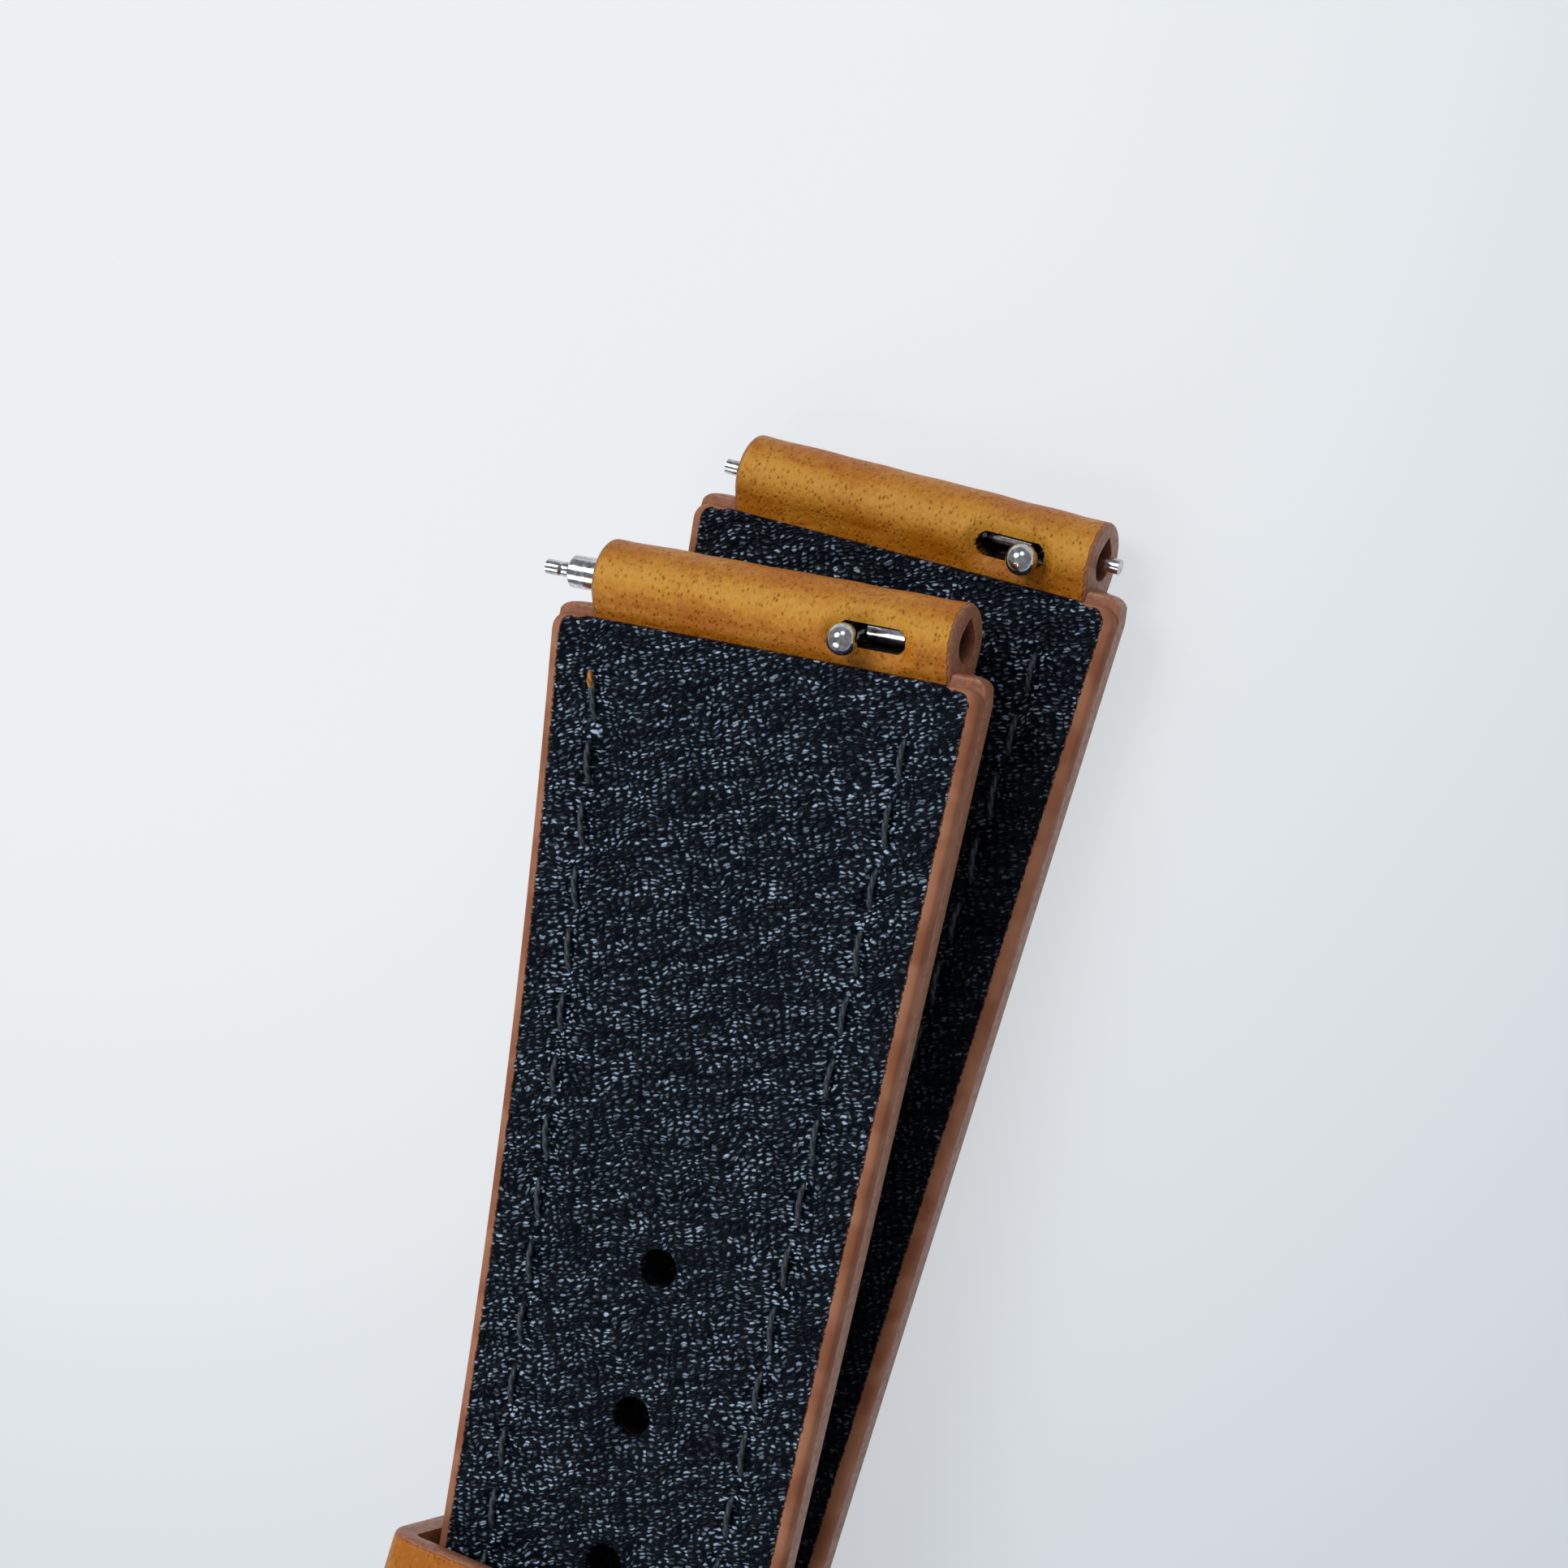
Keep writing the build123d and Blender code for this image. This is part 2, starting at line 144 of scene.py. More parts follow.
class StrapLoops(bpy.types.PropertyGroup):
    """Sizes of the leather loops and the keepers."""
    bar_outset: length("Bar outset", 1.75, "How far the bar's axis lies past the lining")
    bar_depth: length("Bar depth", 1.85, "Depth of the bar's axis below the lining's face")
    loop_radius: length("Loop radius", 1.8, "Outer radius of the leather round the bar")
    tunnel_radius: length("Tunnel radius", 0.85, "Radius of the tunnel that holds the bar")
    pinch_reach: length("Pinch reach", 1.0, "How far the tunnel's fold lies past the bar")
    window_length: length("Window length", 3.3, "Length of the slot for the release knob")
    window_width: length("Window width", 1.25, "Width of the slot for the release knob")
    window_place: length("Window place", 4.95, "Place of the slot across the strap")
    knob_tilt: FloatProperty(name="Knob tilt", default=radians(14), subtype="ANGLE",
                             description="Lean of the release knob towards the strap")
    keeper_width: length("Keeper width", 5.0, "Width of a keeper along the strap")
    keeper_wall: length("Keeper wall", 1.1, "Thickness of a keeper's leather")
    keeper_corner: length("Keeper corner", 1.3, "Radius of a keeper's outer corners")
    keeper_tuck: length("Keeper tuck", 0.45, "Thickness of the fixed keeper's end under the lining")
    fixed_keeper: length("Fixed keeper", 59.0, "Place of the fixed keeper from the watch end")
    free_keeper: length("Free keeper", 51.5, "Place of the free keeper from the watch end")


class StrapSewing(bpy.types.PropertyGroup):
    """Sizes of the stitching."""
    pitch: length("Pitch", 2.85, "Distance from one stitch to the next")
    seen: length("Stitch length", 1.9, "Length of thread that shows in one stitch")
    thread: length("Thread", 0.28, "Thickness of the waxed thread")
    start: length("Start", 3.6, "Place of the first stitch from the watch end")
    inset_left: length("Left inset", 2.5, "Distance from the left edge to its seam")
    inset_right: length("Right inset", 3.0, "Distance from the right edge to its seam")
    dent: length("Dent", 0.2, "Depth that a stitch pulls the leather in")
    slant: FloatProperty(name="Slant", default=radians(5), subtype="ANGLE",
                         description="Angle of a stitch to its seam")
    seed: IntProperty(name="Seed", default=3, description="Seed of the small differences between stitches")


class StrapColours(bpy.types.PropertyGroup):
    """Colours of the leather, paint, thread and floor."""
    # the light tan also carries the painted sheen along the loops' crests
    tan_light: colour("Light tan", "#CF932E", "Tan leather where the oil is thin")
    tan_deep: colour("Deep tan", "#AF6302", "Tan leather where the oil has pooled")
    pore: colour("Pores", "#7A4204", "Pores of the tan leather")
    # near black for the walls of the holes, the window and the tunnels: painted shade in those recesses
    hole: colour("Hole", "#17110D", "Dyed wall of the tang holes")
    lining: colour("Lining", "#02070F", "Blue-black lining")
    # pale tops of the pebbles: partly rubbed wear, partly painted glints
    lining_glint_and_wear: colour("Worn lining", "#C3DDF9", "Lining on top of its grain")
    paint: colour("Edge paint", "#A87458", "Brown edge paint")
    paint_dark: colour("Dark edge paint", "#915C43", "Edge paint where it is thin or in a hollow")
    thread_dark: colour("Lining thread", "#343E48", "Thread on the lining's side")
    thread_tan: colour("Face thread", "#C07A2C", "Thread on the outer face")
    floor: colour("Floor", "#EEF2F5", "Pale floor where the light falls")
    # the floor's painted shade away from the far left corner
    floor_painted_shade: colour("Far floor", "#C8CFD6", "Floor away from the light")


class StrapStage(bpy.types.PropertyGroup):
    """Camera and lamps."""
    focal_length: FloatProperty(name="Focal length", default=76.22, subtype="DISTANCE_CAMERA",
                                description="Focal length for a 36 mm sensor")
    lamp_power: FloatProperty(name="Lamps", default=1.0, min=0,
                              description="Strength of the three lamps together")


def in_mm(group):
    """Read a property group, with its lengths in millimetres."""
    values = SimpleNamespace()
    for name, item in group.bl_rna.properties.items():
        if name in ("rna_type", "name"):
            continue
        value = getattr(group, name)
        setattr(values, name, value / MM if getattr(item, "unit", "NONE") == "LENGTH" else value)
    return values


# Where things lie

REST_TILT = radians(2.1)
REST = Matrix.Translation((1.4741, 51.3619, 4.0956)) @ Matrix.Rotation(REST_TILT, 4, "X")
# the long half lies over the short one, lower and a little turned
LAID_OVER = REST @ Matrix.Translation((-3.0, -5.1, 5.8)) @ Matrix.Rotation(radians(4.4), 4, "Z")
# the camera in the long half's own directions, as its edges, holes and bar appear in the photo
CAMERA_PLACE = Vector((61.554, 12.742, 131.191))
CAMERA_AIM = Vector((2.113, -5.581, 0))
CAMERA_UP = Vector((-0.1887, 0.9807, -0.0515))
LAMP_AIM = Vector((0, -18, 0))
# the far left corner of the view, from which the floor is painted darker as painted shade
FLOOR_CORNER = (-50, 72, 0)
# a distance that counts as far from every edge and hole
FAR = 9.0


def smooth(low, high, value):
    """Rise softly from 0 at low to 1 at high, or fall where low is the larger."""
    share = min(max((value - low) / (high - low), 0), 1)
    return share * share * (3 - 2 * share)


def bell(distance, width):
    """1 at no distance, and softly less to each side over a width."""
    return exp(-(distance / width) ** 2)


def rounded(height, width, distance):
    """How far an edge that is rounded over a width falls short, at a distance from it."""
    share = min(max(1 - distance / width, 0), 1)
    return height * (1 - sqrt(1 - share ** 2))


def spaced(line, pitch):
    """Evenly spaced (spot, direction) along a flat line, ends included."""
    lengths = [0.0]
    for here, there in zip(line, line[1:]):
        lengths.append(lengths[-1] + hypot(there[0] - here[0], there[1] - here[1]))
    count = max(round(lengths[-1] / pitch), 1)
    spots, k = [], 0
    for number in range(count + 1):
        want = lengths[-1] * number / count
        while k < len(line) - 2 and lengths[k + 1] < want:
            k += 1
        share = (want - lengths[k]) / (lengths[k + 1] - lengths[k])
        here, there = Vector(line[k]), Vector(line[k + 1])
        spots.append((here.lerp(there, share), (there - here).normalized()))
    return spots


# rows of a half: close together where its end is rolled, finer as far as the photo shows it,
# and round its tip
END_ROLL = 0.16
END_STEPS = [0, 0.02, 0.06, 0.11, 0.17, 0.26, 0.38]
FINE_STEP = 0.2
COARSE_STEP = 0.4
TIP_ROWS = 26
# ends of the seams, and the part of the tip's arc that the round seam takes
SEAM_TO_TIP = 1.0
SEAM_TO_BUCKLE = 4.2
TIP_SEAM_SHARE = 0.86
TIP_SEAM_STEPS = 30


class Half:
    """One half of the strap: its outline and where its points lie in the frame."""

    def __init__(self, name, size, sewing):
        self.name, self.size, self.sewing = name, size, sewing
        self.is_long = name == "long"
        self.length = size.long_length if self.is_long else size.short_length
        self.far_fill = size.fill_at_tail if self.is_long else size.fill_at_buckle
        self.place = LAID_OVER if self.is_long else REST
        hole_count = size.hole_count if self.is_long else 0
        self.holes = [size.first_hole + k * size.hole_spacing for k in range(hole_count)]
        # the tip is an arc over the tail's full width
        half_tail = size.tail_width / 2
        self.tip_radius = (half_tail ** 2 + size.tip_length ** 2) / (2 * size.tip_length)
        self.tip_turn = asin(min(half_tail / self.tip_radius, 1)) if size.tip_length < half_tail else pi / 2
        tip_y = size.curl_radius * sin(self.length / size.curl_radius)
        self.tip_centre = tip_y - self.tip_radius
        self.body_end = self.to_along(tip_y - size.tip_length) if self.is_long else self.length

    def to_along(self, y):
        """Length along the curled half at which it lies a flat distance y from the watch end."""
        return self.size.curl_radius * asin(y / self.size.curl_radius)

    def half_width(self, along):
        """Half the strap's width, which tapers from the shoulders to the tail."""
        size = self.size
        share = min(max(along / size.taper_length, 0), 1)
        spread = (size.shoulder_width - size.tail_width) / 2
        return size.tail_width / 2 + spread * (1 - share) ** size.taper_power

    def fill(self, along):
        """Thickness of the filler, which is skived thinner towards the far end."""
        share = min(max(along / self.length, 0), 1)
        return self.size.fill_at_lug + (self.far_fill - self.size.fill_at_lug) * share

    def hole_gap(self, across, along):
        """Distance to the rim of the nearest hole; inside a hole it is negative."""
        return min((hypot(across, along - hole) for hole in self.holes), default=FAR) - self.size.hole / 2

    def point(self, across, along, depth):
        """A point of the half, in metres in the frame."""
        turn = along / self.size.curl_radius
        radius = self.size.curl_radius + depth
        local = Vector((across, -radius * sin(turn), self.size.curl_radius - radius * cos(turn)))
        return (self.place @ local) * MM

    def up(self, along):
        """Direction out of the lining, in the frame."""
        turn = along / self.size.curl_radius
        return self.place.to_3x3() @ Vector((0, sin(turn), cos(turn)))

    def end_frame(self):
        """Matrix of the buckle end: x across, y out of the strap, z out of the lining."""
        turn = self.length / self.size.curl_radius
        radius = self.size.curl_radius
        origin = Vector((0, -radius * sin(turn), radius - radius * cos(turn)))
        x, z = Vector((-1, 0, 0)), Vector((0, sin(turn), cos(turn)))
        turned = Matrix((x, z.cross(x), z)).transposed().to_4x4()
        return self.place @ Matrix.Translation(origin) @ turned

    def rows(self, start):
        """Rows across the half: (half width, along, outline's normal, how far the end closes)."""
        size = self.size
        # the photo ends a little past the third hole
        fine_until = size.first_hole + 2 * size.hole_spacing + 3.2
        stations = [start + step for step in END_STEPS]
        along = 0.6 if start < 0 else 0.4
        while along < self.body_end - 0.45:
            stations.append(along)
            along = round(along + (FINE_STEP if along < fine_until - 1e-6 else COARSE_STEP), 4)
        if self.is_long:
            stations.append(self.body_end)
        else:
            stations += [self.length - step for step in reversed(END_STEPS)]
        rows = []
        for along in stations:
            width = self.half_width(along) - rounded(size.corner, size.corner, along - start)
            close = rounded(END_ROLL, END_ROLL, along - start)
            if not self.is_long:
                close += rounded(END_ROLL, END_ROLL, self.length - along)
            rows.append((width, along, (1.0, 0.0), close))
        if self.is_long:
            for k in range(1, TIP_ROWS + 1):
                turn = self.tip_turn * (1 - k / TIP_ROWS)
                y = self.tip_centre + self.tip_radius * cos(turn)
                rows.append((self.tip_radius * sin(turn), self.to_along(y), (sin(turn), cos(turn)), 0))
        return rows

    def seams(self):
        """Seam lines as lists of (across, along): one round the tip, or one on each side."""
        inset_left, inset_right = self.sewing.inset_left, self.sewing.inset_right
        start = self.sewing.start
        end = self.body_end - SEAM_TO_TIP if self.is_long else self.length - SEAM_TO_BUCKLE
        count = max(int(end - start), 2)
        spots = [start + (end - start) * k / count for k in range(count + 1)]
        left = [(inset_left - self.half_width(spot), spot) for spot in spots]
        right = [(self.half_width(spot) - inset_right, spot) for spot in spots]
        if not self.is_long:
            return [left, right]
        round_tip = []
        for k in range(TIP_SEAM_STEPS + 1):
            share = k / TIP_SEAM_STEPS
            turn = self.tip_turn * (2 * share - 1)
            radius = self.tip_radius - inset_left - (inset_right - inset_left) * share
            if abs(turn) < self.tip_turn * TIP_SEAM_SHARE:
                round_tip.append((radius * sin(turn), self.to_along(self.tip_centre + radius * cos(turn))))
        return [left + round_tip + right[::-1]]

    def stitches(self):
        """Steps of the seams, as (spot, direction) seen from the lining."""
        return [step for line in self.seams() for step in spaced(line, self.sewing.pitch)]


def halves(scene):
    """The short and the long half, with the sizes that the scene holds."""
    size, sewing = in_mm(scene.strap_sizes), in_mm(scene.strap_sewing)
    return [Half(name, size, sewing) for name in ("short", "long")]


# Meshes

def finish_mesh(name, mesh, material, body, replaced=(), sharp=40):
    """Turn a bmesh into a finished piece that rides on a body and stands for CAD nodes."""
    bmesh.ops.remove_doubles(mesh, verts=mesh.verts, dist=0.002 * MM)
    bmesh.ops.dissolve_degenerate(mesh, edges=mesh.edges, dist=0.001 * MM)
    bmesh.ops.recalc_face_normals(mesh, faces=mesh.faces)
    for edge in mesh.edges:
        if len(edge.link_faces) == 2:
            edge.smooth = edge.calc_face_angle(0) < radians(sharp)
    data = bpy.data.meshes.new(name)
    mesh.to_mesh(data)
    mesh.free()
    data.shade_smooth()
    data.materials.append(material)
    return finish_piece(name, data, body, replaced)


def finish_piece(name, data, body, replaced=()):
    """Put a finished mesh in the scene as a piece that rides on a body."""
    piece = bpy.data.objects.new(name, data)
    bpy.context.scene.collection.objects.link(piece)
    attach(piece, body)
    if replaced:
        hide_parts(*replaced)
    return piece


def parted(grid):
    """Part a grid of tuples into one grid for each of their members."""
    return [[[spot[k] for spot in row] for row in grid] for k in range(len(grid[0][0]))]


def layered(mesh, top, bottom, gone, marks, wrap=False):
    """Close two matching grids of points into one solid with walls round every gap.

    gone holds the cells that are left out, and marks holds one grid of values for each
    named attribute, as (top value, bottom value).
    """
    layers = {name: mesh.verts.layers.float.get(name) or mesh.verts.layers.float.new(name) for name in marks}
    rows, columns = len(top), len(top[0])
    made = {}

    def vertex(side, i, j):
        """The vertex of a spot on the top, 0, or on the bottom, 1."""
        i = i % rows if wrap else i
        key = (side, i, j)
        if key not in made:
            made[key] = mesh.verts.new((top, bottom)[side][i][j])
            for name, grid in marks.items():
                made[key][layers[name]] = grid[i][j][side]
        return made[key]

    def is_kept(i, j):
        """Whether there is leather in a cell."""
        i = i % rows if wrap else i
        return 0 <= j < columns - 1 and (wrap or 0 <= i < rows - 1) and (i, j) not in gone

    for i in range(rows if wrap else rows - 1):
        for j in range(columns - 1):
            if not is_kept(i, j):
                continue
            corners = [(i, j), (i + 1, j), (i + 1, j + 1), (i, j + 1)]
            mesh.faces.new([vertex(0, *corner) for corner in corners])
            mesh.faces.new([vertex(1, *corner) for corner in reversed(corners)])
            cells_beyond = [(i, j - 1), (i + 1, j), (i, j + 1), (i - 1, j)]
            for here, there, beyond in zip(corners, corners[1:] + corners[:1], cells_beyond):
                if not is_kept(*beyond):
                    mesh.faces.new([vertex(0, *there), vertex(0, *here), vertex(1, *here), vertex(1, *there)])


# columns of a half: insets from its edge, close together at the rolled rim and the seam
EDGE_INSETS = [0, 0.05, 0.13, 0.26, 0.42, 0.56, 0.8, 1.1, 1.4, 1.65, 1.85, 2.05, 2.25, 2.45, 2.65, 2.85,
               3.05, 3.25, 3.5, 3.8, 4.2]
RIM = 0.56
CENTRE_COLUMNS = [-1.6, -1.2, -0.8, -0.4, 0, 0.4, 0.8, 1.2, 1.6]
SHARES_BETWEEN = [0.25, 0.5, 0.75]
# squares of cells round a hole: their half width, and that of the cells that are cut out
HOLE_REACH = 1.6
HOLE_CELLS = 0.8


def grid_of(half, start):
    """Flat grid of (across, along, inset, closing) spots over a half, fitted to its holes."""
    grid = []
    for width, along, normal, close in half.rows(start):
        # the columns draw together where the tip narrows
        room = max(min((width - RIM) / (half.size.tail_width / 2 - RIM), 1), 0)
        left = []
        for inset in EDGE_INSETS:
            used = inset if inset <= RIM else RIM + (inset - RIM) * room
            left.append((-(width - used * normal[0]), along - used * normal[1], used))
        x, y, _ = left[-1]
        centre = [column * room for column in CENTRE_COLUMNS]
        middle = [x + (centre[0] - x) * share for share in SHARES_BETWEEN] + centre
        middle += [centre[-1] + (-x - centre[-1]) * share for share in SHARES_BETWEEN]
        right = [(-x, y, inset) for x, y, inset in reversed(left)]
        grid.append([(*spot, close) for spot in left + [(x, y, FAR) for x in middle] + right])
    return grid


def round_holes(half, grid):
    """Turn the squares of cells round each hole's centre into rings, and list the cells inside."""
    first = HOLE_CELLS / HOLE_REACH
    inside = set()
    moved = [list(row) for row in grid]
    for hole in half.holes:
        for i, row in enumerate(grid):
            for j, (x, y, inset, close) in enumerate(row):
                ring = max(abs(x), abs(y - hole)) / HOLE_REACH
                if ring > 1.001:
                    continue
                if ring >= first - 0.001:
                    share = (ring - first) / (1 - first)
                    turn = atan2(y - hole, x)
                    circle = half.size.hole / 2 + (HOLE_REACH - half.size.hole / 2) * share
                    out = circle + (hypot(x, y - hole) - circle) * share
                    moved[i][j] = (out * cos(turn), hole + out * sin(turn), inset, close)
                if i + 1 < len(grid) and j + 1 < len(row):
                    middle_x, middle_y = (x + row[j + 1][0]) / 2, (y + grid[i + 1][j][1]) / 2
                    if max(abs(middle_x), abs(middle_y - hole)) < HOLE_CELLS:
                        inside.add((i, j))
    return moved, inside


# side of the net's cells in which a spot's stitches are looked up
NET = 3


class Dents:
    """How deep the stitches pull the leather in at a spot, with the puckers round them."""

    def __init__(self, half, strength):
        self.sewing, self.strength = half.sewing, strength
        self.cells = {}
        for number, (spot, along) in enumerate(half.stitches()):
            column, row = self.cell(spot.x, spot.y)
            for key in [(column + i, row + j) for i in (-1, 0, 1) for j in (-1, 0, 1)]:
                self.cells.setdefault(key, []).append((number, spot, along))

    @staticmethod
    def cell(x, y):
        """Cell of the net in which a spot lies."""
        return floor(x / NET), floor(y / NET)

    def near(self, x, y):
        """Stitches near a spot, as (number, spot's distance along it, spot's distance beside it)."""
        for number, middle, along in self.cells.get(self.cell(x, y), ()):
            off = Vector((x, y)) - middle
            yield number, off.dot(along), off.x * along.y - off.y * along.x

    def nearness(self, x, y):
        """Nearness of the seam, from 0 to 1 on it."""
        return max((bell(beside, 0.8) * smooth(2.2, 1.2, abs(along)) for _, along, beside in self.near(x, y)),
                   default=0.0)

    def depth(self, x, y):
        """Depth of the dents and puckers at a spot."""
        end_at = self.sewing.seen / 2
        dent, pucker = 0.0, 0.0
        for number, along, beside in self.near(x, y):
            if abs(along) > 2.4 or abs(beside) > 2.2:
                continue
            slot = smooth(end_at + 0.3, end_at - 0.35, abs(along)) * bell(beside, 0.34)
            needle_hole = bell(abs(along) - end_at, 0.28) * bell(beside, 0.3)
            dent = max(dent, self.sewing.dent * slot, (self.sewing.dent + 0.06) * needle_hole)
            pucker += 0.07 * bell(beside, 1.0) * bell(along, 1.1)
            # small creases beside the stitch, different at each one
            crease = sin(along * 9.5 + 1.7 * sin(number * 2.3))
            pucker += 0.05 * crease * bell(abs(beside) - 0.85, 0.5) * bell(along, 1.2)
        return self.strength * (dent + pucker)


def lining_mesh(half, dents):
    """Lining with a rolled edge, sewn dents and punched holes."""
    size = half.size
    grid, inside = round_holes(half, grid_of(half, 0))
    wave_place = 3.1 if half.is_long else 9.2

    def measure(x, y, inset, close):
        """Top and bottom point of a spot, then its marks on both."""
        gap = half.hole_gap(x, y)
        # the punch presses the lining in, with a faint swell round that
        lip = 0.12 * bell(max(gap, 0), 0.22) - 0.03 * bell(gap - 0.55, 0.3) if gap < 1.2 else 0
        roll = rounded(0.3, 0.45, inset)
        wave = 0.05 * noise.noise(Vector((x * 0.35, y * 0.35, wave_place)))
        dent = dents.depth(x, y) * smooth(0.3, 1.0, inset)
        depth = roll + close + lip + dent + wave * smooth(0.3, 1.5, inset)
        # the paint goes round the rim, but not on the tab and not in the holes
        to_watch = y + 0.36 if abs(x) > size.tab_width / 2 else FAR
        to_far = FAR if half.is_long else half.length - y + 0.3
        to_edge = min(inset, max(min(to_watch, to_far), 0))
        in_middle = 0.5 < inset and abs(x) < 1.7
        # the short half carries painted glints only near the watch, as far as it shows past the long one;
        # further on they fade, as painted shade under the long half
        rub = 1.0 if half.is_long else 1 - 0.75 * smooth(4, 9, y)
        return (half.point(x, y, max(depth, roll + close)), half.point(x, y, size.lining - close * 0.3),
                (to_edge, FAR if in_middle else 0.0), (dents.nearness(x, y), 0.0), (rub, 0.0))

    top, bottom, edge, seam, rub = parted([[measure(*spot) for spot in row] for row in grid])
    mesh = bmesh.new()
    layered(mesh, top, bottom, inside, {"edge_mm": edge, "seam": seam, "rub": rub})
    return mesh


def face_depth(half, inset, along):
    """Depth of the outer face at an inset from the edge: rolled rim, then the padded middle."""
    rim = half.size.lining + half.size.outer
    return rim - rounded(0.28, 0.42, inset) + half.fill(along) * smooth(0.25, 2.3, inset)


# how far to each side of the strap's end the outer face sinks into a loop
FOLD_REACH = 1.6


def fold_depth(size, loops, fill, out, across, tab_width):
    """How much deeper the outer face lies near a loop's fold, out past the strap's end."""
    deepest = loops.bar_depth + loops.loop_radius
    flat = size.lining + size.outer + fill
    beside = smooth(tab_width / 2 + 0.9, tab_width / 2 - 0.1, abs(across))
    return (deepest - flat) * smooth(-FOLD_REACH, FOLD_REACH, out) * beside


def outer_mesh(half, loops, dents):
    """Outer leather: padded body with its rim, shoulders and holes, and the loops round the bars."""
    size = half.size
    start = -size.shoulder_step
    grid, inside = round_holes(half, grid_of(half, start))
    if not half.is_long:
        inside = {(i, j) for i, row in enumerate(grid) for j, (x, y, _, _) in enumerate(row)
                  if abs(x) < size.tang_slot / 2 + 0.05 and half.length - y < size.tang_slot_depth + 0.1}

    def measure(x, y, inset, close):
        """Top and bottom point of a spot, then its marks on the bottom and the top."""
        to_far = FAR if half.is_long else half.length - y
        to_watch = y - start if abs(x) > size.tab_width / 2 - 0.1 else FAR
        fold = fold_depth(size, loops, size.fill_at_lug, -y, x, size.tab_width)
        if not half.is_long:
            fold += fold_depth(size, loops, size.fill_at_buckle, -to_far, x, size.buckle_tab_width)
        gap = half.hole_gap(x, y)
        lip = 0.1 * bell(max(gap, 0), 0.25)
        dent = dents.depth(x, y) * smooth(0.6, 1.4, inset)
        # the holes' walls are marked for painted shade
        in_hole = float(gap < 0.02)
        return (half.point(x, y, size.lining + close * 0.6),
                half.point(x, y, face_depth(half, inset, y) + fold - close - dent - lip),
                (min(inset, max(min(to_watch, to_far), 0)), 0.0), (in_hole, in_hole))

    top, bottom, edge, dyed = parted([[measure(*spot) for spot in row] for row in grid])
    mesh = bmesh.new()
    layered(mesh, bottom, top, inside, {"edge_mm": edge, "dyed": dyed})
    loop_mesh(mesh, half.place, size, loops, size.fill_at_lug, -size.tab_width / 2, size.tab_width / 2, True)
    if not half.is_long:
        reach, gap = size.buckle_tab_width / 2, size.tang_slot / 2
        for left, right in ((-reach, -gap), (gap, reach)):
            loop_mesh(mesh, half.end_frame(), size, loops, size.fill_at_buckle, left, right, False)
    return mesh


# steps across a loop: from each of its ends, between them, and at its window
LOOP_END_STEPS = [0, 0.03, 0.08, 0.15, 0.25]
LOOP_STEP = 0.4
WINDOW_STEP = 0.12
# steps round a loop: over half the strip that holds its window, and over the rest
WINDOW_STRIP = 0.75
TURNS_WITH_WINDOW = (10, 64)
TURNS_PLAIN = (5, 32)
# how deep the leather is pressed in at the window's rim
WINDOW_LIP = 0.3
# how far the loop's leather reaches on to the strap, and its glue lines there
LOOP_OVERLAP = 1.4
GLUE_BELOW = 0.012
GLUE_ABOVE = 0.03
# the fold's outline is found by halving the way out from the bar's axis
HULL_LIMIT = 6.0
HULL_HALVINGS = 26
# how blunt the point of the tunnel is
TUNNEL_BLUNT = 0.15


